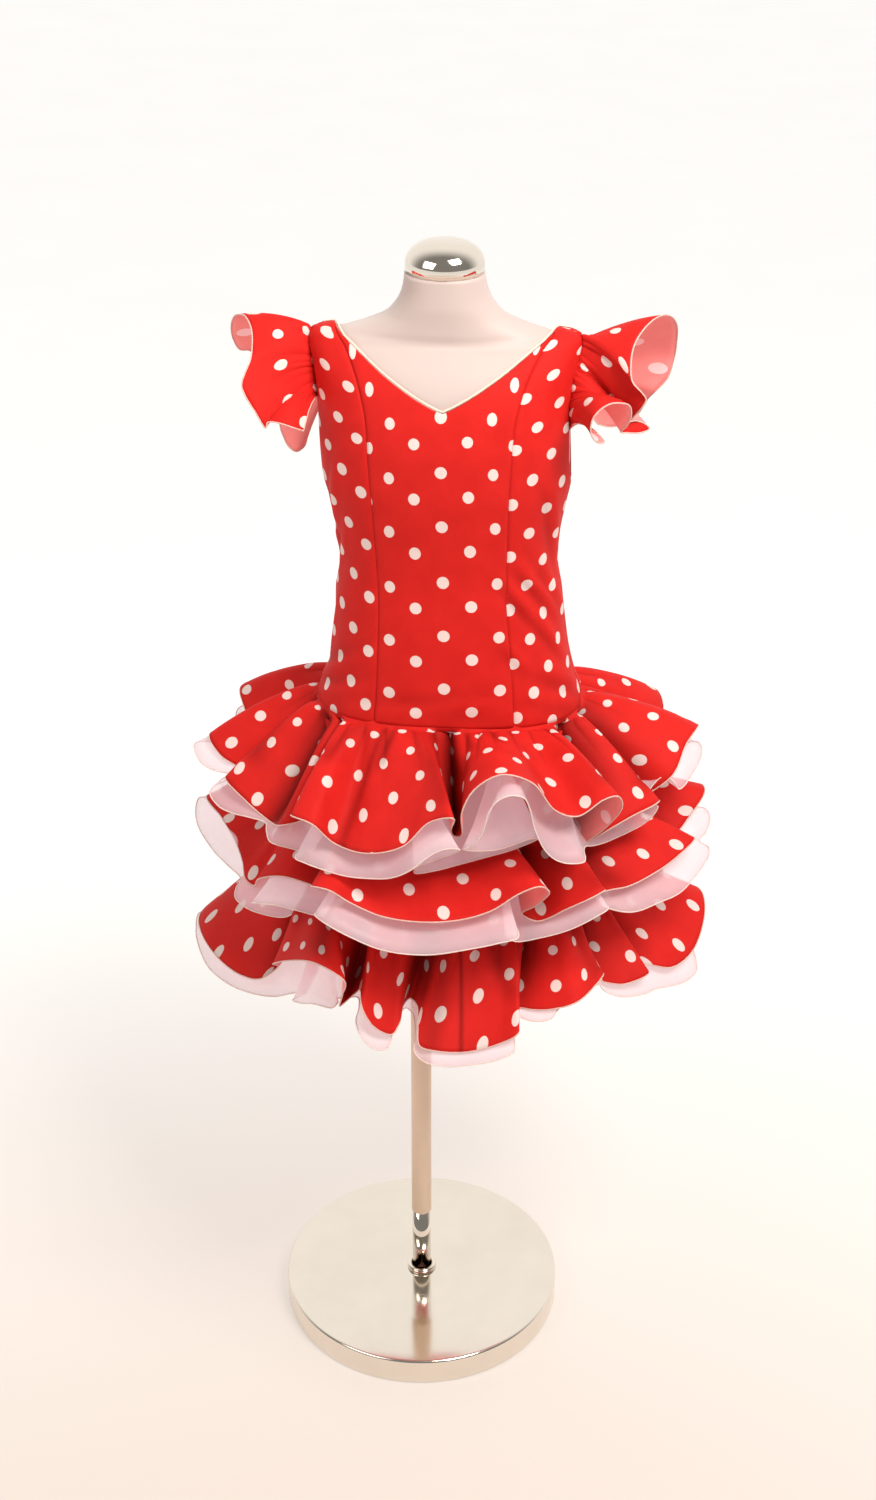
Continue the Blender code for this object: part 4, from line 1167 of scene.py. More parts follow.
def seam_turns(hem):
    """Turns of the gathered edge: each column's own bearing, evened out."""
    full = 2.0 * math.pi
    bearings = []
    for point in hem:
        turn = bearing(point)
        if bearings:
            turn += full * round((bearings[-1] - turn) / full)
        bearings.append(turn)
    run = lengths_along(hem, True)
    turns = local_mean(bearings, run, GATHER_REACH, full)
    steady = [full * r / run[-1] for r in run[:-1]]
    offset = (sum(turns) - sum(steady)) / len(hem)
    return [t + EVEN_GATHER * (s + offset - t) for t, s in zip(turns, steady)]


def fold_stands(hem):
    """How far each place of a free edge stands out of the edge's local mean."""
    outs = [math.hypot(p.x - FORM_CENTRE_X, p.y) for p in hem]
    means = local_mean(outs, lengths_along(hem, True), FOLD_REACH, 0.0)
    return [out - mean for out, mean in zip(outs, means)]


def drape(rows, steps, ring_point, levels, lift, depth):
    """Grid from the gathered seam to the free edge, and its folds' stands.

    The folds form soon below the seam.
    """
    hem = spline(fold_points(rows), steps, True)
    stands = fold_stands(hem)
    ring = [ring_point(turn) for turn in seam_turns(hem)]
    grid = []
    for v in levels:
        row = []
        for top, end, stand in zip(ring, hem, stands):
            share = clamp(stand / FOLD_STAND, -1.0)
            p = top.lerp(end, v)
            p.z += lift * (0.1 + 0.6 * share) * hump(v)
            dent = POCKET * max(0.0, -share) ** 1.3 * (v ** 0.5 - v ** 3)
            row.append(p + outward(end) * (depth * stand * (v ** FOLD_RISE - v) - dent))
        grid.append(row)
    return grid, stands


def valley_shade(stands, levels, count):
    """Painted shade for each place of a ruffle's grid, by how deep in a fold or a pinch it lies.
    """
    shade = []
    for v in levels:
        near = min(1.0, v / 0.03) * bell(v / 0.30)
        below = min(1.0, v / 0.12) * (1.0 - 0.6 * v ** 3)
        row = []
        for j, stand in enumerate(stands):
            low = clamp(-stand / FOLD_STAND - 0.1)
            pinch = 1.0 - puff_height(j / len(stands), count)
            row.append(min(1.0, low ** 1.2 * below + 0.6 * pinch ** 2 * near))
        shade.append(row)
    return shade


def crease_marks(creases, turn, v):
    """Dent and painted shade of a ruffle's main creases at a turn in degrees."""
    dent, dark = 0.0, 0.0
    for top, low, first, last, width, depth, shade in creases:
        gap = wrapped(turn - top - (low - top) * v)
        start, end = (v - first + 0.03) / 0.08, (last + 0.12 - v) / 0.12
        if abs(gap) < 3.0 * width and start > 0.0 and end > 0.0:
            near = bell(gap / width) * min(1.0, start) * min(1.0, end)
            dent += depth * near * (1.0 - v ** 4)
            dark += shade * near
    return dent, dark


def puff_height(share, count):
    turn = 2.0 * math.pi * share
    return abs(math.sin(0.5 * count * turn + 0.9 * math.sin(5.0 * turn))) ** 0.6


def gathers(share, v, count, stand):
    """Puffs of the gathered seam, pinched between, and wider waves beyond."""
    turn = 2.0 * math.pi * share
    size = 0.75 + 0.25 * math.sin(9.0 * turn + 1.0) * math.sin(4.0 * turn)
    near = puff_height(share, count) * size * min(1.0, v / 0.05) * bell(v / 0.34)
    wide = math.sin((count * 0.5 // 1) * turn + 0.7) + 0.6 * math.sin((count * 0.31 // 1) * turn)
    far = (v / 0.22) * math.exp(1.0 - v / 0.22)
    return stand * (near + 0.22 * wide * far)


def lengthwise(count, power):
    return [v ** power for v in even(count - 1)]


def moved_off(grid, closed, levels, amount):
    """The grid with each place moved along its normal by amount(share, v)."""
    cols = len(grid[0])
    return [
        [p + normals[j] * amount(j / cols, v) for j, p in enumerate(row)]
        for row, normals, v in zip(grid, grid_normals(grid, closed), levels)
    ]


def red_grid(folds, creases, ring_point, lift, depth, pinches, stand):
    """The red ruffle's grid, gathered at its seam, and its painted shade."""
    levels = lengthwise(RUFFLE_ROWS, 1.35)
    grid, stands = drape(folds, RUFFLE_STEPS, ring_point, levels, lift, depth)
    grid = moved_off(grid, True, levels, lambda share, v: gathers(share, v, pinches, stand))
    shade = valley_shade(stands, levels, pinches)
    for v, row, darks in zip(levels, grid, shade):
        for j, p in enumerate(row):
            dent, dark = crease_marks(creases, math.degrees(bearing(p)), v)
            row[j] = p - outward(p) * (dent * min(1.0, v / 0.1))
            darks[j] = min(1.0, darks[j] + dark)
    return grid, shade


def sheer_grid(edge, ring_point, lift, depth, sag_share):
    """The organza's grid: its own folds, close inside the red ones."""
    levels = lengthwise(SHEER_ROWS, 1.1)
    grid, _ = drape(edge, SHEER_STEPS, ring_point, levels, lift, depth)
    return moved_off(
        grid, True, levels, lambda share, v: -sag_share * table_value(ORGANZA_SAG, v, 1)
    )


def kept_inside(under, red, shown):
    """The organza's grid, drawn in wherever it would stand outside the red.

    Between the two turns of shown the organza's lower half stays as it is.
    """
    wide, count = len(red[0]), len(under[0])
    faces = []
    for low in range(0, wide * (len(red) - 1), wide):
        for j in range(wide):
            k = (j + 1) % wide
            faces.append((low + j, low + k, low + wide + k, low + wide + j))
    tree = BVHTree.FromPolygons([p for row in red for p in row], faces)
    before = [0.0] * count
    free = [shown[0] < math.degrees(bearing(p)) < shown[1] for p in under[-1]]
    for i, row in enumerate(under[1:-1]):
        pull = []
        for j, p in enumerate(row):
            if free[j] and i > 0.5 * len(under):
                pull.append(0.0)
                continue
            axis = Vector((FORM_CENTRE_X, 0.0, p.z))
            hit = tree.ray_cast(axis, (p - axis).normalized(), 0.4)[3]
            excess = 0.0 if hit is None else max(0.0, (p - axis).length + SHEER_CLEAR - hit)
            pull.append(max(min(excess, MOST_DRAWN_IN), 0.4 * before[j]))
        wider = [max(pull[j - 1], pull[j], pull[(j + 1) % count]) for j in range(count)]
        before = [
            (wider[j - 1] + 2.0 * wider[j] + wider[(j + 1) % count]) / 4.0 for j in range(count)
        ]
        row[:] = [p - outward(p) * pulled for p, pulled in zip(row, before)]
    return under


def ruffle_cut(grid, closed, gather):
    """A ruffle's flat places, cut as rings, with its length and depth."""
    seam, hem = lengths_along(grid[0], closed), lengths_along(grid[-1], closed)
    columns = list(zip(*grid))[::7]
    depth = sum(lengths_along(column)[-1] for column in columns) / len(columns)
    inner = seam[-1] * gather
    angle = max(0.2, (hem[-1] - inner) / depth)
    ways = [(math.sin(angle * run / hem[-1]), math.cos(angle * run / hem[-1])) for run in hem]
    flat_places = [
        [(radius * across, radius * up) for across, up in ways]
        for radius in even(len(grid) - 1, inner / angle, inner / angle + depth)
    ]
    return flat_places, hem[-1], depth


def skirt_ring(z, stand_off):
    def ring_point(turn):
        point = section_point(SKIRT_SECTIONS, turn, z)
        return point + outward(point, centre_x(z)) * stand_off

    return ring_point


def hip_ring(turn):
    return form_point(turn, hip_z(turn) - 0.0020, 0.0024)


def armhole_lines(side, column):
    """The sleeve's seam round the armhole, and the row tucked under the bodice."""
    def pair(turn, z, tuck):
        tucked = form_point(side * (turn + tuck), z, -0.0008)
        return form_point(side * turn, z, SLEEVE_OFF), tucked

    pairs = [
        pair(back_start(z, column), z, SLEEVE_TUCK)
        for z in (1.028, 1.045, 1.060, 1.075, 1.088, 1.098, 1.104)
    ]
    top = side * 0.5 * math.pi
    tucked = form_point(top, ARM_TOP_Z + 0.0015, -0.0012)
    pairs.append((form_point(top, ARM_TOP_Z - 0.0005, SLEEVE_OFF), tucked))
    low = 1.030 if side > 0.0 else 1.052
    for share in even(6):
        z = 1.104 + (low - 1.104) * share ** 1.3
        pairs.append(pair(math.radians(table_value(ARMHOLE_FRONT, z, column)), z, -SLEEVE_TUCK))
    return [spline(line, 12, False) for line in zip(*pairs)]


def sleeve_grid(curls, side, column):
    """A sleeve ruffle from its tucked row to its free edge."""
    hem = [
        Vector((SLEEVE_CENTRE_X + side * out / 1000.0, -forward / 1000.0, z / 1000.0))
        for out, forward, z in threes(curls)
    ]
    hem = spline(hem, SLEEVE_STEPS, False)
    run = lengths_along(hem)
    lines = []
    for line in armhole_lines(side, column):
        marks = lengths_along(line)
        row, k = [], 0
        for r in run:
            goal = r / run[-1] * marks[-1]
            while k < len(line) - 2 and marks[k + 1] < goal:
                k += 1
            row.append(line[k].lerp(line[k + 1], (goal - marks[k]) / (marks[k + 1] - marks[k])))
        lines.append(row)
    ring, tucked = lines
    levels = lengthwise(SLEEVE_ROWS, 1.3)
    rise = Vector((0.0, 0.0, SLEEVE_RISE))
    grid = [
        [top.lerp(end, v) + rise * hump(v) for top, end in zip(ring, hem)]
        for v in levels
    ]
    if side > 0.0:
        grid = [row[::-1] for row in grid]
        tucked = tucked[::-1]
    grid = moved_off(
        grid, False, levels, lambda share, v: gathers(share, v, SLEEVE_GATHERS, SLEEVE_PUFF)
    )
    return [tucked] + grid


def hung_ruffle(name, node, slots, grid, closed, gather, finishes, values, thread,
                edge=None, shade=None):
    """A gathered sheet with its rolled hem, named and set on the one body."""
    flat_places, length, depth = ruffle_cut(grid, closed, gather)
    sheet = cloth(name % "cloth", grid, flat_places, closed, finishes, values.thick, shade=shade)
    hem = bead(name % "hem", edge or grid[-1], values.hem_size, closed, thread)
    piece(sheet, slots[0], node)
    piece(hem, slots[1])
    return sheet


# ---------------------------------------------------------------- settings
def size_setting(name, description, default):
    return FloatProperty(
        name=name, description=description, default=default, min=0.0, unit="LENGTH", precision=5
    )


def share_setting(name, description, default):
    return FloatProperty(
        name=name, description=description, default=default, min=0.0, max=1.0, subtype="FACTOR"
    )


def plain_setting(name, description, default, unit="NONE"):
    return FloatProperty(name=name, description=description, default=default, unit=unit)


def angle_setting(name, description, degrees):
    return FloatProperty(
        name=name, description=description, default=math.radians(degrees), subtype="ANGLE"
    )


def colour_setting(name, description, default):
    return FloatVectorProperty(
        name=name, description=description, default=default, min=0.0, max=1.0,
        size=3, subtype="COLOR",
    )


class ClothSettings(bpy.types.PropertyGroup):
    """Sizes and colours of the dotted cloth and its trims."""

    ground: colour_setting("Ground", "Red of the cloth's right side", (0.62, 0.018, 0.014))
    deep: colour_setting("Deep red", "Darker red in the cloth's weave", (0.55, 0.014, 0.011))
    dots: colour_setting("Dots", "Printed dots on the right side", (0.76, 0.60, 0.555))
    reverse: colour_setting("Reverse", "Wrong side of the cloth", (0.88, 0.27, 0.25))
    reverse_deep: colour_setting("Reverse shade", "Darker wrong side", (0.84, 0.22, 0.21))
    reverse_dots: colour_setting("Reverse dots", "Dots seen from behind", (0.90, 0.52, 0.52))
    hem: colour_setting("Hem thread", "Rolled hems", (0.74, 0.50, 0.43))
    hem_shade: colour_setting("Hem shade", "Darker part of the hem thread", (0.64, 0.36, 0.30))
    tape: colour_setting("Binding", "Neck binding", (0.74, 0.62, 0.50))
    tape_shade: colour_setting("Binding shade", "Darker part of the binding", (0.66, 0.54, 0.42))
    # Painted glow: strength of the emission on the wrong side, standing in for light through the
    # cloth.
    through: share_setting("Light through", "Light that comes through to the wrong side", 0.12)
    # Painted shade: how much the fold map darkens the colour in the depths of folds and creases.
    valley: share_setting("Valley shade", "How much darker the depth of a fold is", 0.66)
    dot_size: size_setting("Dot size", "Diameter of a dot", 0.0112)
    dot_across: size_setting("Dots across", "Distance between dots across the cloth", 0.0515)
    dot_down: size_setting("Dots down", "Distance between dots along the cloth", 0.0519)
    thread: size_setting("Thread", "Distance between threads of the weave", 0.0006)
    thick: size_setting("Cloth", "Thickness of the cloth", 0.0006)
    hem_size: size_setting("Hem", "Radius of a rolled hem", 0.00065)


class OrganzaSettings(bpy.types.PropertyGroup):
    """Sizes and colours of the sheer ruffles."""

    colour: colour_setting("Organza", "Colour of the sheer cloth", (0.70, 0.52, 0.54))
    shade: colour_setting("Organza shade", "Darker part of the sheer cloth", (0.65, 0.47, 0.50))
    hem: colour_setting("Organza hem", "Rolled hems of the sheer cloth", (0.82, 0.66, 0.60))
    hem_shade: colour_setting("Organza hem shade", "Darker hem thread", (0.72, 0.52, 0.47))
    cover: share_setting("Cover", "How much one face of the sheer cloth hides", 0.40)
    # Painted glow: strength of the emission that stands in for light through the organza.
    through: share_setting("Light through", "Light that comes through the sheer cloth", 0.36)
    thread: size_setting("Thread", "Distance between threads of the weave", 0.0005)
    thick: size_setting("Organza thickness", "Thickness of the sheer cloth", 0.0003)
    hem_size: size_setting("Hem", "Radius of a rolled hem", 0.0006)


class FormSettings(bpy.types.PropertyGroup):
    """Colours of the dress form and its stand."""

    colour: colour_setting("Cover", "Cover of the form", (0.56, 0.445, 0.405))
    shade: colour_setting("Cover shade", "Darker part of the cover", (0.53, 0.42, 0.38))
    chrome: colour_setting("Chrome", "Polished metal", (0.84, 0.77, 0.68))
    tube: colour_setting("Tube", "Matte upper tube of the pole", (0.84, 0.63, 0.47))
    polish: share_setting("Polish", "Roughness of the polished metal", 0.06)
    columns: IntProperty(name="Columns", description="Columns round the form", default=128, min=36)


class StageSettings(bpy.types.PropertyGroup):
    """Camera, floor and lights."""

    # Floor near and far: the paper's colour with painted shade, darker and warmer near the stand.
    floor_near: colour_setting("Floor near", "Paper close to the stand", (0.33, 0.287, 0.255))
    floor_glow: share_setting("Floor glow", "Light the paper gives off", 0.525)
    floor_far: colour_setting("Floor far", "Paper far from the stand", (0.44, 0.435, 0.425))
    sky: colour_setting("Room", "Light of the white room", (1.0, 0.97, 0.93))
    room_low: plain_setting("Room", "Light from the room's front", 0.24)
    room_high: plain_setting("Backdrop", "Light from the backdrop", 1.05)
    key_light: plain_setting("Key light", "Power of the right softbox", 60.0)
    fill_light: plain_setting("Fill light", "Power of the left softbox", 14.0)
    lens: plain_setting("Lens", "Focal length", 50.0, "CAMERA")
    pitch: angle_setting("Pitch", "Camera's slope down", 28.492)
    yaw: angle_setting("Yaw", "Camera's turn from +Y", -4.5)
    roll: angle_setting("Roll", "Camera's tilt", 0.124)


SETTINGS = (
    ("dress_cloth", ClothSettings),
    ("dress_organza", OrganzaSettings),
    ("dress_form", FormSettings),
    ("dress_stage", StageSettings),
)


# --------------------------------------------------------------- operators
def finished(made):
    """What an operator returns once its pieces are made."""
    if not made:
        raise RuntimeError("Nothing was made")
    return {"FINISHED"}


class DRESS_OT_stand(bpy.types.Operator):
    """The weighted round base, its collar, the pole and the neck cap"""

    bl_idname = "dress.stand"
    bl_label = "Stand"
    bl_options = {"REGISTER", "UNDO"}

    def execute(self, context):
        form_set = context.scene.dress_form
        chrome, polish = form_set.chrome, form_set.polish
        plate = chrome_finish("base_chrome", chrome, polish + 0.03, 0.04)
        tube = chrome_finish("tube_chrome", chrome, polish, 0.03)
        rim, top = BASE_RADIUS - BASE_EDGE, BASE_HEIGHT
        profile = [(0.0, 0.0), (rim, 0.0)] + arc(rim, BASE_EDGE, BASE_EDGE, -90.0, 0.0)[1:]
        profile += arc(rim, top - BASE_EDGE, BASE_EDGE, 0.0, 90.0)
        profile += [(0.10, top), (0.05, top), (0.0, top)]
        base = piece(turned("base_plate", profile, 0.0, plate, 192), "chrome", "base")
        foot = BASE_HEIGHT + CLEARANCE
        bore, top, edge = LOWER_TUBE_RADIUS + 0.0001, foot + COLLAR_HEIGHT, 0.0015
        profile = [(bore, foot), (COLLAR_RADIUS, foot)]
        profile += arc(COLLAR_RADIUS - edge, top - edge, edge, 0.0, 90.0)
        profile += [(bore, top), (bore, foot)]
        collar = piece(turned("collar_ring", profile, 0.0, tube), "chrome", "pole_collar")
        top = TUBE_STEP_Z
        profile = [(0.0, foot), (LOWER_TUBE_RADIUS, foot), (LOWER_TUBE_RADIUS, top), (0.0, top)]
        lower = piece(turned("pole_lower", profile, 0.0, tube), "chrome")
        low, top = TUBE_STEP_Z + 0.0001, FORM_SECTIONS[0][0] + 0.004
        profile = [(0.0, low), (POLE_RADIUS - 0.0004, low), (POLE_RADIUS, low + 0.0005)]
        profile += [(POLE_RADIUS, top), (0.0, top)]
        upper = turned("pole_upper", profile, 0.0, tube_finish(form_set.tube))
        pole = piece(upper, "form_cover", "pole")
        z = FORM_SECTIONS[-1][0] + CLEARANCE
        profile = [(0.0, z), (CAP_RADIUS, z), (CAP_RADIUS, z + CAP_RIM)]
        for a in even(12, 0.0, 0.5 * math.pi)[1:-1]:
            out = CAP_RADIUS * math.cos(a) ** 0.75
            profile.append((out, z + CAP_RIM + (CAP_HEIGHT - CAP_RIM) * math.sin(a)))
        profile.append((0.0, z + CAP_HEIGHT))
        cap = piece(turned("neck_cap_dome", profile, centre_x(z), tube), "chrome", "neck_cap")
        return finished([base, collar, lower, pole, cap])


class DRESS_OT_form(bpy.types.Operator):
    """The smooth limbless form, closed underneath and at the neck"""

    bl_idname = "dress.form"
    bl_label = "Form"
    bl_options = {"REGISTER", "UNDO"}

    def execute(self, context):
        columns = context.scene.dress_form.columns
        marks = [row[0] for row in FORM_SECTIONS]
        levels = [z for low, high in zip(marks, marks[1:]) for z in even(4, low, high)[:-1]]
        levels.append(marks[-1])
        bm = bmesh.new()
        for vert, (i, j) in grid_places(bm, len(levels), columns).items():
            z = levels[i]
            point = section_point(FORM_SECTIONS, 2.0 * math.pi * (j % columns) / columns, z)
            vert.co = point - outward(point, centre_x(z)) * table_value(FORM_INSETS, z, 1)
            vert.co.z -= table_value(FORM_INSETS, z, 2)
            if point.y < 0.0:
                near = max(0.0, 1.0 - ((vert.co.x - centre_x(z)) / THROAT_HALF_WIDTH) ** 2)
                vert.co.y -= table_value(FORM_THROAT, z, 1) * near * near
        bmesh.ops.remove_doubles(bm, verts=bm.verts, dist=1e-6)
        bmesh.ops.holes_fill(bm, edges=[e for e in bm.edges if e.is_boundary], sides=0)
        bmesh.ops.recalc_face_normals(bm, faces=bm.faces)
        ends = [f for f in bm.faces if len(f.verts) > 4]
        bmesh.ops.inset_region(bm, faces=ends, thickness=0.004, depth=0.0)
        form = as_object("form_body", bm, [cover_finish()])
        return finished([piece(form, "form_cover", "form_torso")])


class DRESS_OT_bodice(bpy.types.Operator):
    """The five panels of the bodice with their tucked seam allowances"""

    bl_idname = "dress.bodice"
    bl_label = "Bodice"
    bl_options = {"REGISTER", "UNDO"}

    def execute(self, context):
        thick = context.scene.dress_cloth.thick
        finishes = red_finishes()
        rows = [1.0 - (1.0 - t) ** 1.12 for t in even(PANEL_ROWS)]
        obj = panel(
            "front_centre_cloth", even(CENTRE_COLUMNS, -1.0, 1.0), rows, front_centre_place,
            finishes, thick, -2.0, CENTRE_GRAIN, None, centre_bow,
        )
        made = [piece(obj, "red_cloth", "front_center")]
        for side, tag in ((1.0, "R"), (-1.0, "L")):
            step = 1 if side > 0.0 else -1
            obj = panel(
                "front_side_cloth_" + tag, (TUCK_SHARES + even(SIDE_COLUMNS))[::step], rows,
                front_side_place(side), finishes, thick, 0.0, SIDE_GRAIN[tag],
                strap_far_side(side), side_bow,
            )
            made.append(piece(obj, "red_cloth", "front_side_" + tag))
            obj = panel(
                "back_cloth_" + tag, (TUCK_SHARES + even(BACK_COLUMNS))[::step], rows,
                back_place(side), finishes, thick, 0.0, BACK_GRAIN,
            )
            made.append(piece(obj, "red_cloth", "back_" + tag))
        return finished(made)


class DRESS_OT_zip(bpy.types.Operator):
    """The closed zip of the back: its tape and its teeth"""

    bl_idname = "dress.zip"
    bl_label = "Back zip"
    bl_options = {"REGISTER", "UNDO"}

    def execute(self, context):
        finish = thread_named("cream_binding", context.scene.dress_cloth, "tape")
        shares = even(10, 2.2, -2.2)
        points = [
            [
                form_point(*zip_place(s, t), 0.0010 - 0.0009 * max(0.0, abs(s) - 0.9))
                for s in shares
            ]
            for t in even(90)
        ]
        flat_places = [[(0.0, 0.0)] * len(shares)] * len(points)
        tape = cloth("zip_tape", points, flat_places, False, [finish], 0.0006, rising=True)
        bm = bmesh.new()
        for k, t in enumerate(even(149, 0.01, 0.985)):
            spot = form_point(*zip_place(0.0, t), 0.0017)
            tooth = bmesh.ops.create_cube(bm, size=1.0)["verts"]
            bmesh.ops.scale(bm, verts=tooth, vec=(0.0026, 0.0010, 0.0010))
            bmesh.ops.translate(bm, verts=tooth, vec=spot + Vector((0.0003 * (-1) ** k, 0.0, 0.0)))
        coil = as_object("zip_coil", bm, [finish])
        return finished([piece(tape, "cream_tape", "back_zip"), piece(coil, "cream_tape")])


class DRESS_OT_neck_binding(bpy.types.Operator):
    """The cream binding round the V neck and the back neck"""

    bl_idname = "dress.neck_binding"
    bl_label = "Neck binding"
    bl_options = {"REGISTER", "UNDO"}

    def execute(self, context):
        path, far, behind = [], [], []
        for share in even(40, 0.0, 0.96)[:-1]:
            z = neck_height(share)
            edge = turn_at(FORM_SECTIONS, table_value(PRINCESS_SEAM, z, 1), z)
            shift = V_POINT_SHIFT * (1.0 - share)
            path.append(((shift + share) * edge, z))
            far.append(((shift - share) * edge, z))
        for s in even(40, STRAP_SHARE, 1.0):
            z = back_top(s)
            start = back_start(z, 1)
            behind.append((start + (math.pi - start) * back_bend(s, z), z))
        path += behind + [(-turn, z) for turn, z in reversed(behind[:-1])] + far[:0:-1]
        mids = [form_point(turn, z, CLOTH_MIDDLE) for turn, z in path]
        lifted = [form_point(turn, z, CLOTH_MIDDLE + 0.01) for turn, z in path]
        count, around = len(path), 12
        frames = []
        for j, mid in enumerate(mids):
            after = mids[(j + 1) % count]
            out = (lifted[j] - mid).normalized()
            up = out.cross((after - mids[j - 1]).normalized()).normalized()
            miter = 1.0 / max(0.40, up.dot(out.cross((after - mid).normalized())))
            frames.append((mid, up * miter, out))
        rise = 0.5 * BINDING_HEIGHT
        bm = bmesh.new()
        for vert, (i, j) in grid_places(bm, around + 1, count).items():
            mid, up, out = frames[j % count]
            a = 2.0 * math.pi * i / around
            height = 1.6 * SEAM_GAP + rise - rise * math.cos(a)
            vert.co = mid + up * height + out * (0.0008 * math.sin(a))
        thread = thread_named("cream_binding", context.scene.dress_cloth, "tape")
        binding = welded("neck_binding_tape", bm, thread)
        return finished([piece(binding, "cream_tape", "neck_binding")])


class DRESS_OT_underskirt(bpy.types.Operator):
    """The plain underskirt that carries the second and third ruffles"""

    bl_idname = "dress.underskirt"
    bl_label = "Underskirt"
    bl_options = {"REGISTER", "UNDO"}

    def execute(self, context):
        points, flat_places = [], []
        for z in even(SKIRT_ROWS, SKIRT_SECTIONS[-1][0], SKIRT_SECTIONS[0][0]):
            row = []
            for turn in even(SKIRT_COLUMNS, 0.0, 2.0 * math.pi)[:-1]:
                point = section_point(SKIRT_SECTIONS, turn, z)
                wave = 0.0004 * math.sin(9.0 * turn + 40.0 * z)
                row.append(point + outward(point, centre_x(z)) * wave)
            points.append(row)
            flat_places.append([(r, z) for r in lengths_along(row, True)])
        thick = context.scene.dress_cloth.thick
        obj = cloth("underskirt_cloth", points, flat_places, True, red_finishes(), thick)
        piece(obj, "red_cloth", "underskirt")
        length = lengths_along([row[0] for row in points])[-1]
        lengths_along(points[-1], True)[-1]
        return finished([obj])


class DRESS_OT_ruffles(bpy.types.Operator):
    """The three tiers of the skirt, each a red ruffle over an organza one"""

    bl_idname = "dress.ruffles"
    bl_label = "Skirt ruffles"
    bl_options = {"REGISTER", "UNDO"}

    def execute(self, context):
        cloth_set, sheer = context.scene.dress_cloth, context.scene.dress_organza
        made = []
        for number, folds, creases, edge, ring, lift, depth, pinches, stand, sag, shown in TIERS:
            ring_point = skirt_ring(*ring) if ring else hip_ring
            # shade is the painted shade for the depths of folds, pinches and creases.
            red, shade = red_grid(folds, creases, ring_point, lift, depth, pinches, stand)
            under = kept_inside(sheer_grid(edge, ring_point, lift, depth, sag), red, shown)
            if not ring:
                turns = [bearing(p) for p in red[0]]
                red.insert(0, [form_point(turn, hip_z(turn) + 0.007, -0.0006) for turn in turns])
                shade.insert(0, shade[0])
            name = "tier%d_" % number
            made.append(hung_ruffle(
                name + "red_%s", name + "ruffle", ("red_cloth", "cream_tape"), red, True,
                TIER_GATHER, red_finishes(), cloth_set, thread_named("hem_thread", cloth_set),
                shade=shade,
            ))
            made.append(hung_ruffle(
                name + "sheer_%s", name + "organza", ("organza", "organza"), under, True,
                TIER_GATHER, [finish_named("sheer_organza", organza_finish)], sheer,
                thread_named("sheer_hem_thread", sheer),
            ))
        return finished(made)


class DRESS_OT_sleeves(bpy.types.Operator):
    """The two ruffles that stand over the shoulders"""

    bl_idname = "dress.sleeves"
    bl_label = "Sleeve ruffles"
    bl_options = {"REGISTER", "UNDO"}

    def execute(self, context):
        cloth_set = context.scene.dress_cloth
        made = []
        for tag, curls, side, column in (
            ("R", SLEEVE_R_CURLS, 1.0, 1), ("L", SLEEVE_L_CURLS, -1.0, 2),
        ):
            grid = sleeve_grid(curls, side, column)
            edge = [row[0] for row in grid] + grid[-1][1:-1] + [row[-1] for row in reversed(grid)]
            made.append(hung_ruffle(
                "sleeve_%s_" + tag, "sleeve_ruffle_" + tag, ("red_cloth", "cream_tape"), grid,
                False, SLEEVE_GATHER, red_finishes(), cloth_set,
                thread_named("hem_thread", cloth_set), edge,
            ))
        return finished(made)


def room_light(stage_set):
    """A pale room whose backdrop, behind the dress, is its brightest side."""
    world = bpy.data.worlds.new("white_room")
    world.use_nodes = True
    tree = world.node_tree
    way = parts_of(tree, add_node(tree, "TexCoord", {}).outputs["Generated"])["Y"]
    strength = ramp(tree, way, -0.3, 0.6, stage_set.room_low, stage_set.room_high, smooth=True)
    fill(tree, tree.nodes["Background"], {"Color": (*stage_set.sky, 1.0), "Strength": strength})
    return world


def softbox(name, power, size, spot):
    """A large soft lamp aimed at the middle of the dress."""
    light = bpy.data.lights.new(name, "AREA")
    light.energy = power
    light.size = size
    light.color = (1.0, 0.975, 0.94)
    lamp = linked(name, light)
    lamp.location = spot
    aim = Vector((0.03, 0.0, 0.85)) - Vector(spot)
    lamp.rotation_euler = aim.to_track_quat("-Z", "Y").to_euler()


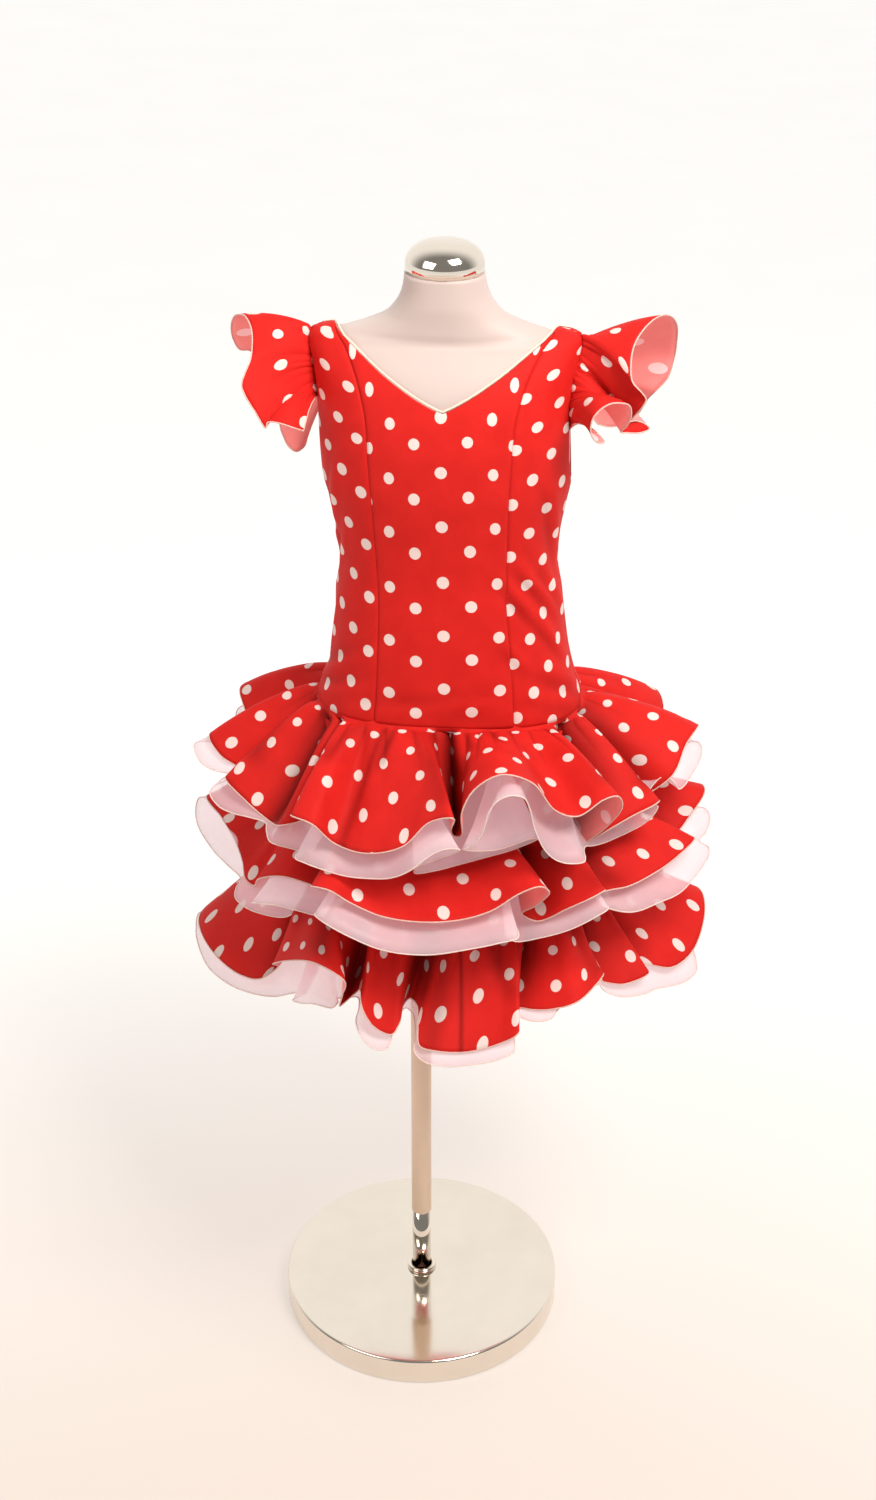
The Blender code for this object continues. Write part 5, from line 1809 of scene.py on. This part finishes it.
class DRESS_OT_stage(bpy.types.Operator):
    """The paper floor, the soft lights and the camera"""

    bl_idname = "dress.stage"
    bl_label = "Stage"
    bl_options = {"REGISTER", "UNDO"}

    def execute(self, context):
        scene, stage_set = context.scene, context.scene.dress_stage
        bm = bmesh.new()
        bmesh.ops.create_grid(bm, x_segments=8, y_segments=8, size=40.0)
        bmesh.ops.translate(bm, verts=bm.verts, vec=(0.0, 0.0, -0.0004))
        floor = as_object("paper_floor", bm, [backdrop_finish()])
        scene.world = room_light(stage_set)
        softbox("right_softbox", stage_set.key_light, 0.9, (0.95, -1.00, 2.60))
        softbox("left_softbox", stage_set.fill_light, 1.2, (-1.30, -1.30, 2.0))
        camera = bpy.data.cameras.new("portrait_camera")
        camera.sensor_fit = "AUTO"
        camera.sensor_width = 36.0
        camera.lens = stage_set.lens
        camera.clip_end = 200.0
        holder = linked("portrait_camera", camera)
        holder.location = CAMERA_PLACE
        pitch, yaw, roll = stage_set.pitch, stage_set.yaw, stage_set.roll
        level = Vector((math.cos(yaw), -math.sin(yaw), 0.0))
        ahead = Vector((math.sin(yaw), math.cos(yaw), 0.0)) * math.cos(pitch)
        ahead.z = -math.sin(pitch)
        above = level.cross(ahead)
        right = level * math.cos(roll) + above * math.sin(roll)
        upward = above * math.cos(roll) - level * math.sin(roll)
        axes = Matrix((right, upward, -ahead)).transposed()
        holder.rotation_mode = "QUATERNION"
        holder.rotation_quaternion = axes.to_quaternion()
        scene.camera = holder
        scene.view_settings.view_transform = "Standard"
        return finished([floor])


class DRESS_PT_sidebar(bpy.types.Panel):
    """Lists the dress's settings and operators"""

    bl_idname = "DRESS_PT_sidebar"
    bl_label = "Dress"
    bl_space_type = "VIEW_3D"
    bl_region_type = "UI"
    bl_category = "Dress"

    def draw(self, context):
        layout = self.layout
        for name, group in SETTINGS:
            box = layout.box()
            box.label(text=group.__doc__)
            for key in group.__annotations__:
                box.prop(getattr(context.scene, name), key)
        for operator in OPERATORS:
            layout.operator(operator.bl_idname)


OPERATORS = (
    DRESS_OT_stage,
    DRESS_OT_stand,
    DRESS_OT_form,
    DRESS_OT_bodice,
    DRESS_OT_zip,
    DRESS_OT_neck_binding,
    DRESS_OT_underskirt,
    DRESS_OT_ruffles,
    DRESS_OT_sleeves,
)
CLASSES = tuple(group for _, group in SETTINGS) + OPERATORS + (DRESS_PT_sidebar,)


def register():
    for cls in CLASSES:
        bpy.utils.register_class(cls)
    for name, group in SETTINGS:
        setattr(bpy.types.Scene, name, PointerProperty(type=group))


def unregister():
    for name, _ in SETTINGS:
        delattr(bpy.types.Scene, name)
    for cls in reversed(CLASSES):
        bpy.utils.unregister_class(cls)


def main():
    register()
    bpy.ops.dress.stage()
    bpy.ops.dress.stand()
    bpy.ops.dress.form()
    bpy.ops.dress.bodice()
    bpy.ops.dress.zip()
    bpy.ops.dress.neck_binding()
    bpy.ops.dress.underskirt()
    bpy.ops.dress.ruffles()
    bpy.ops.dress.sleeves()


if __name__ == "__main__":
    main()
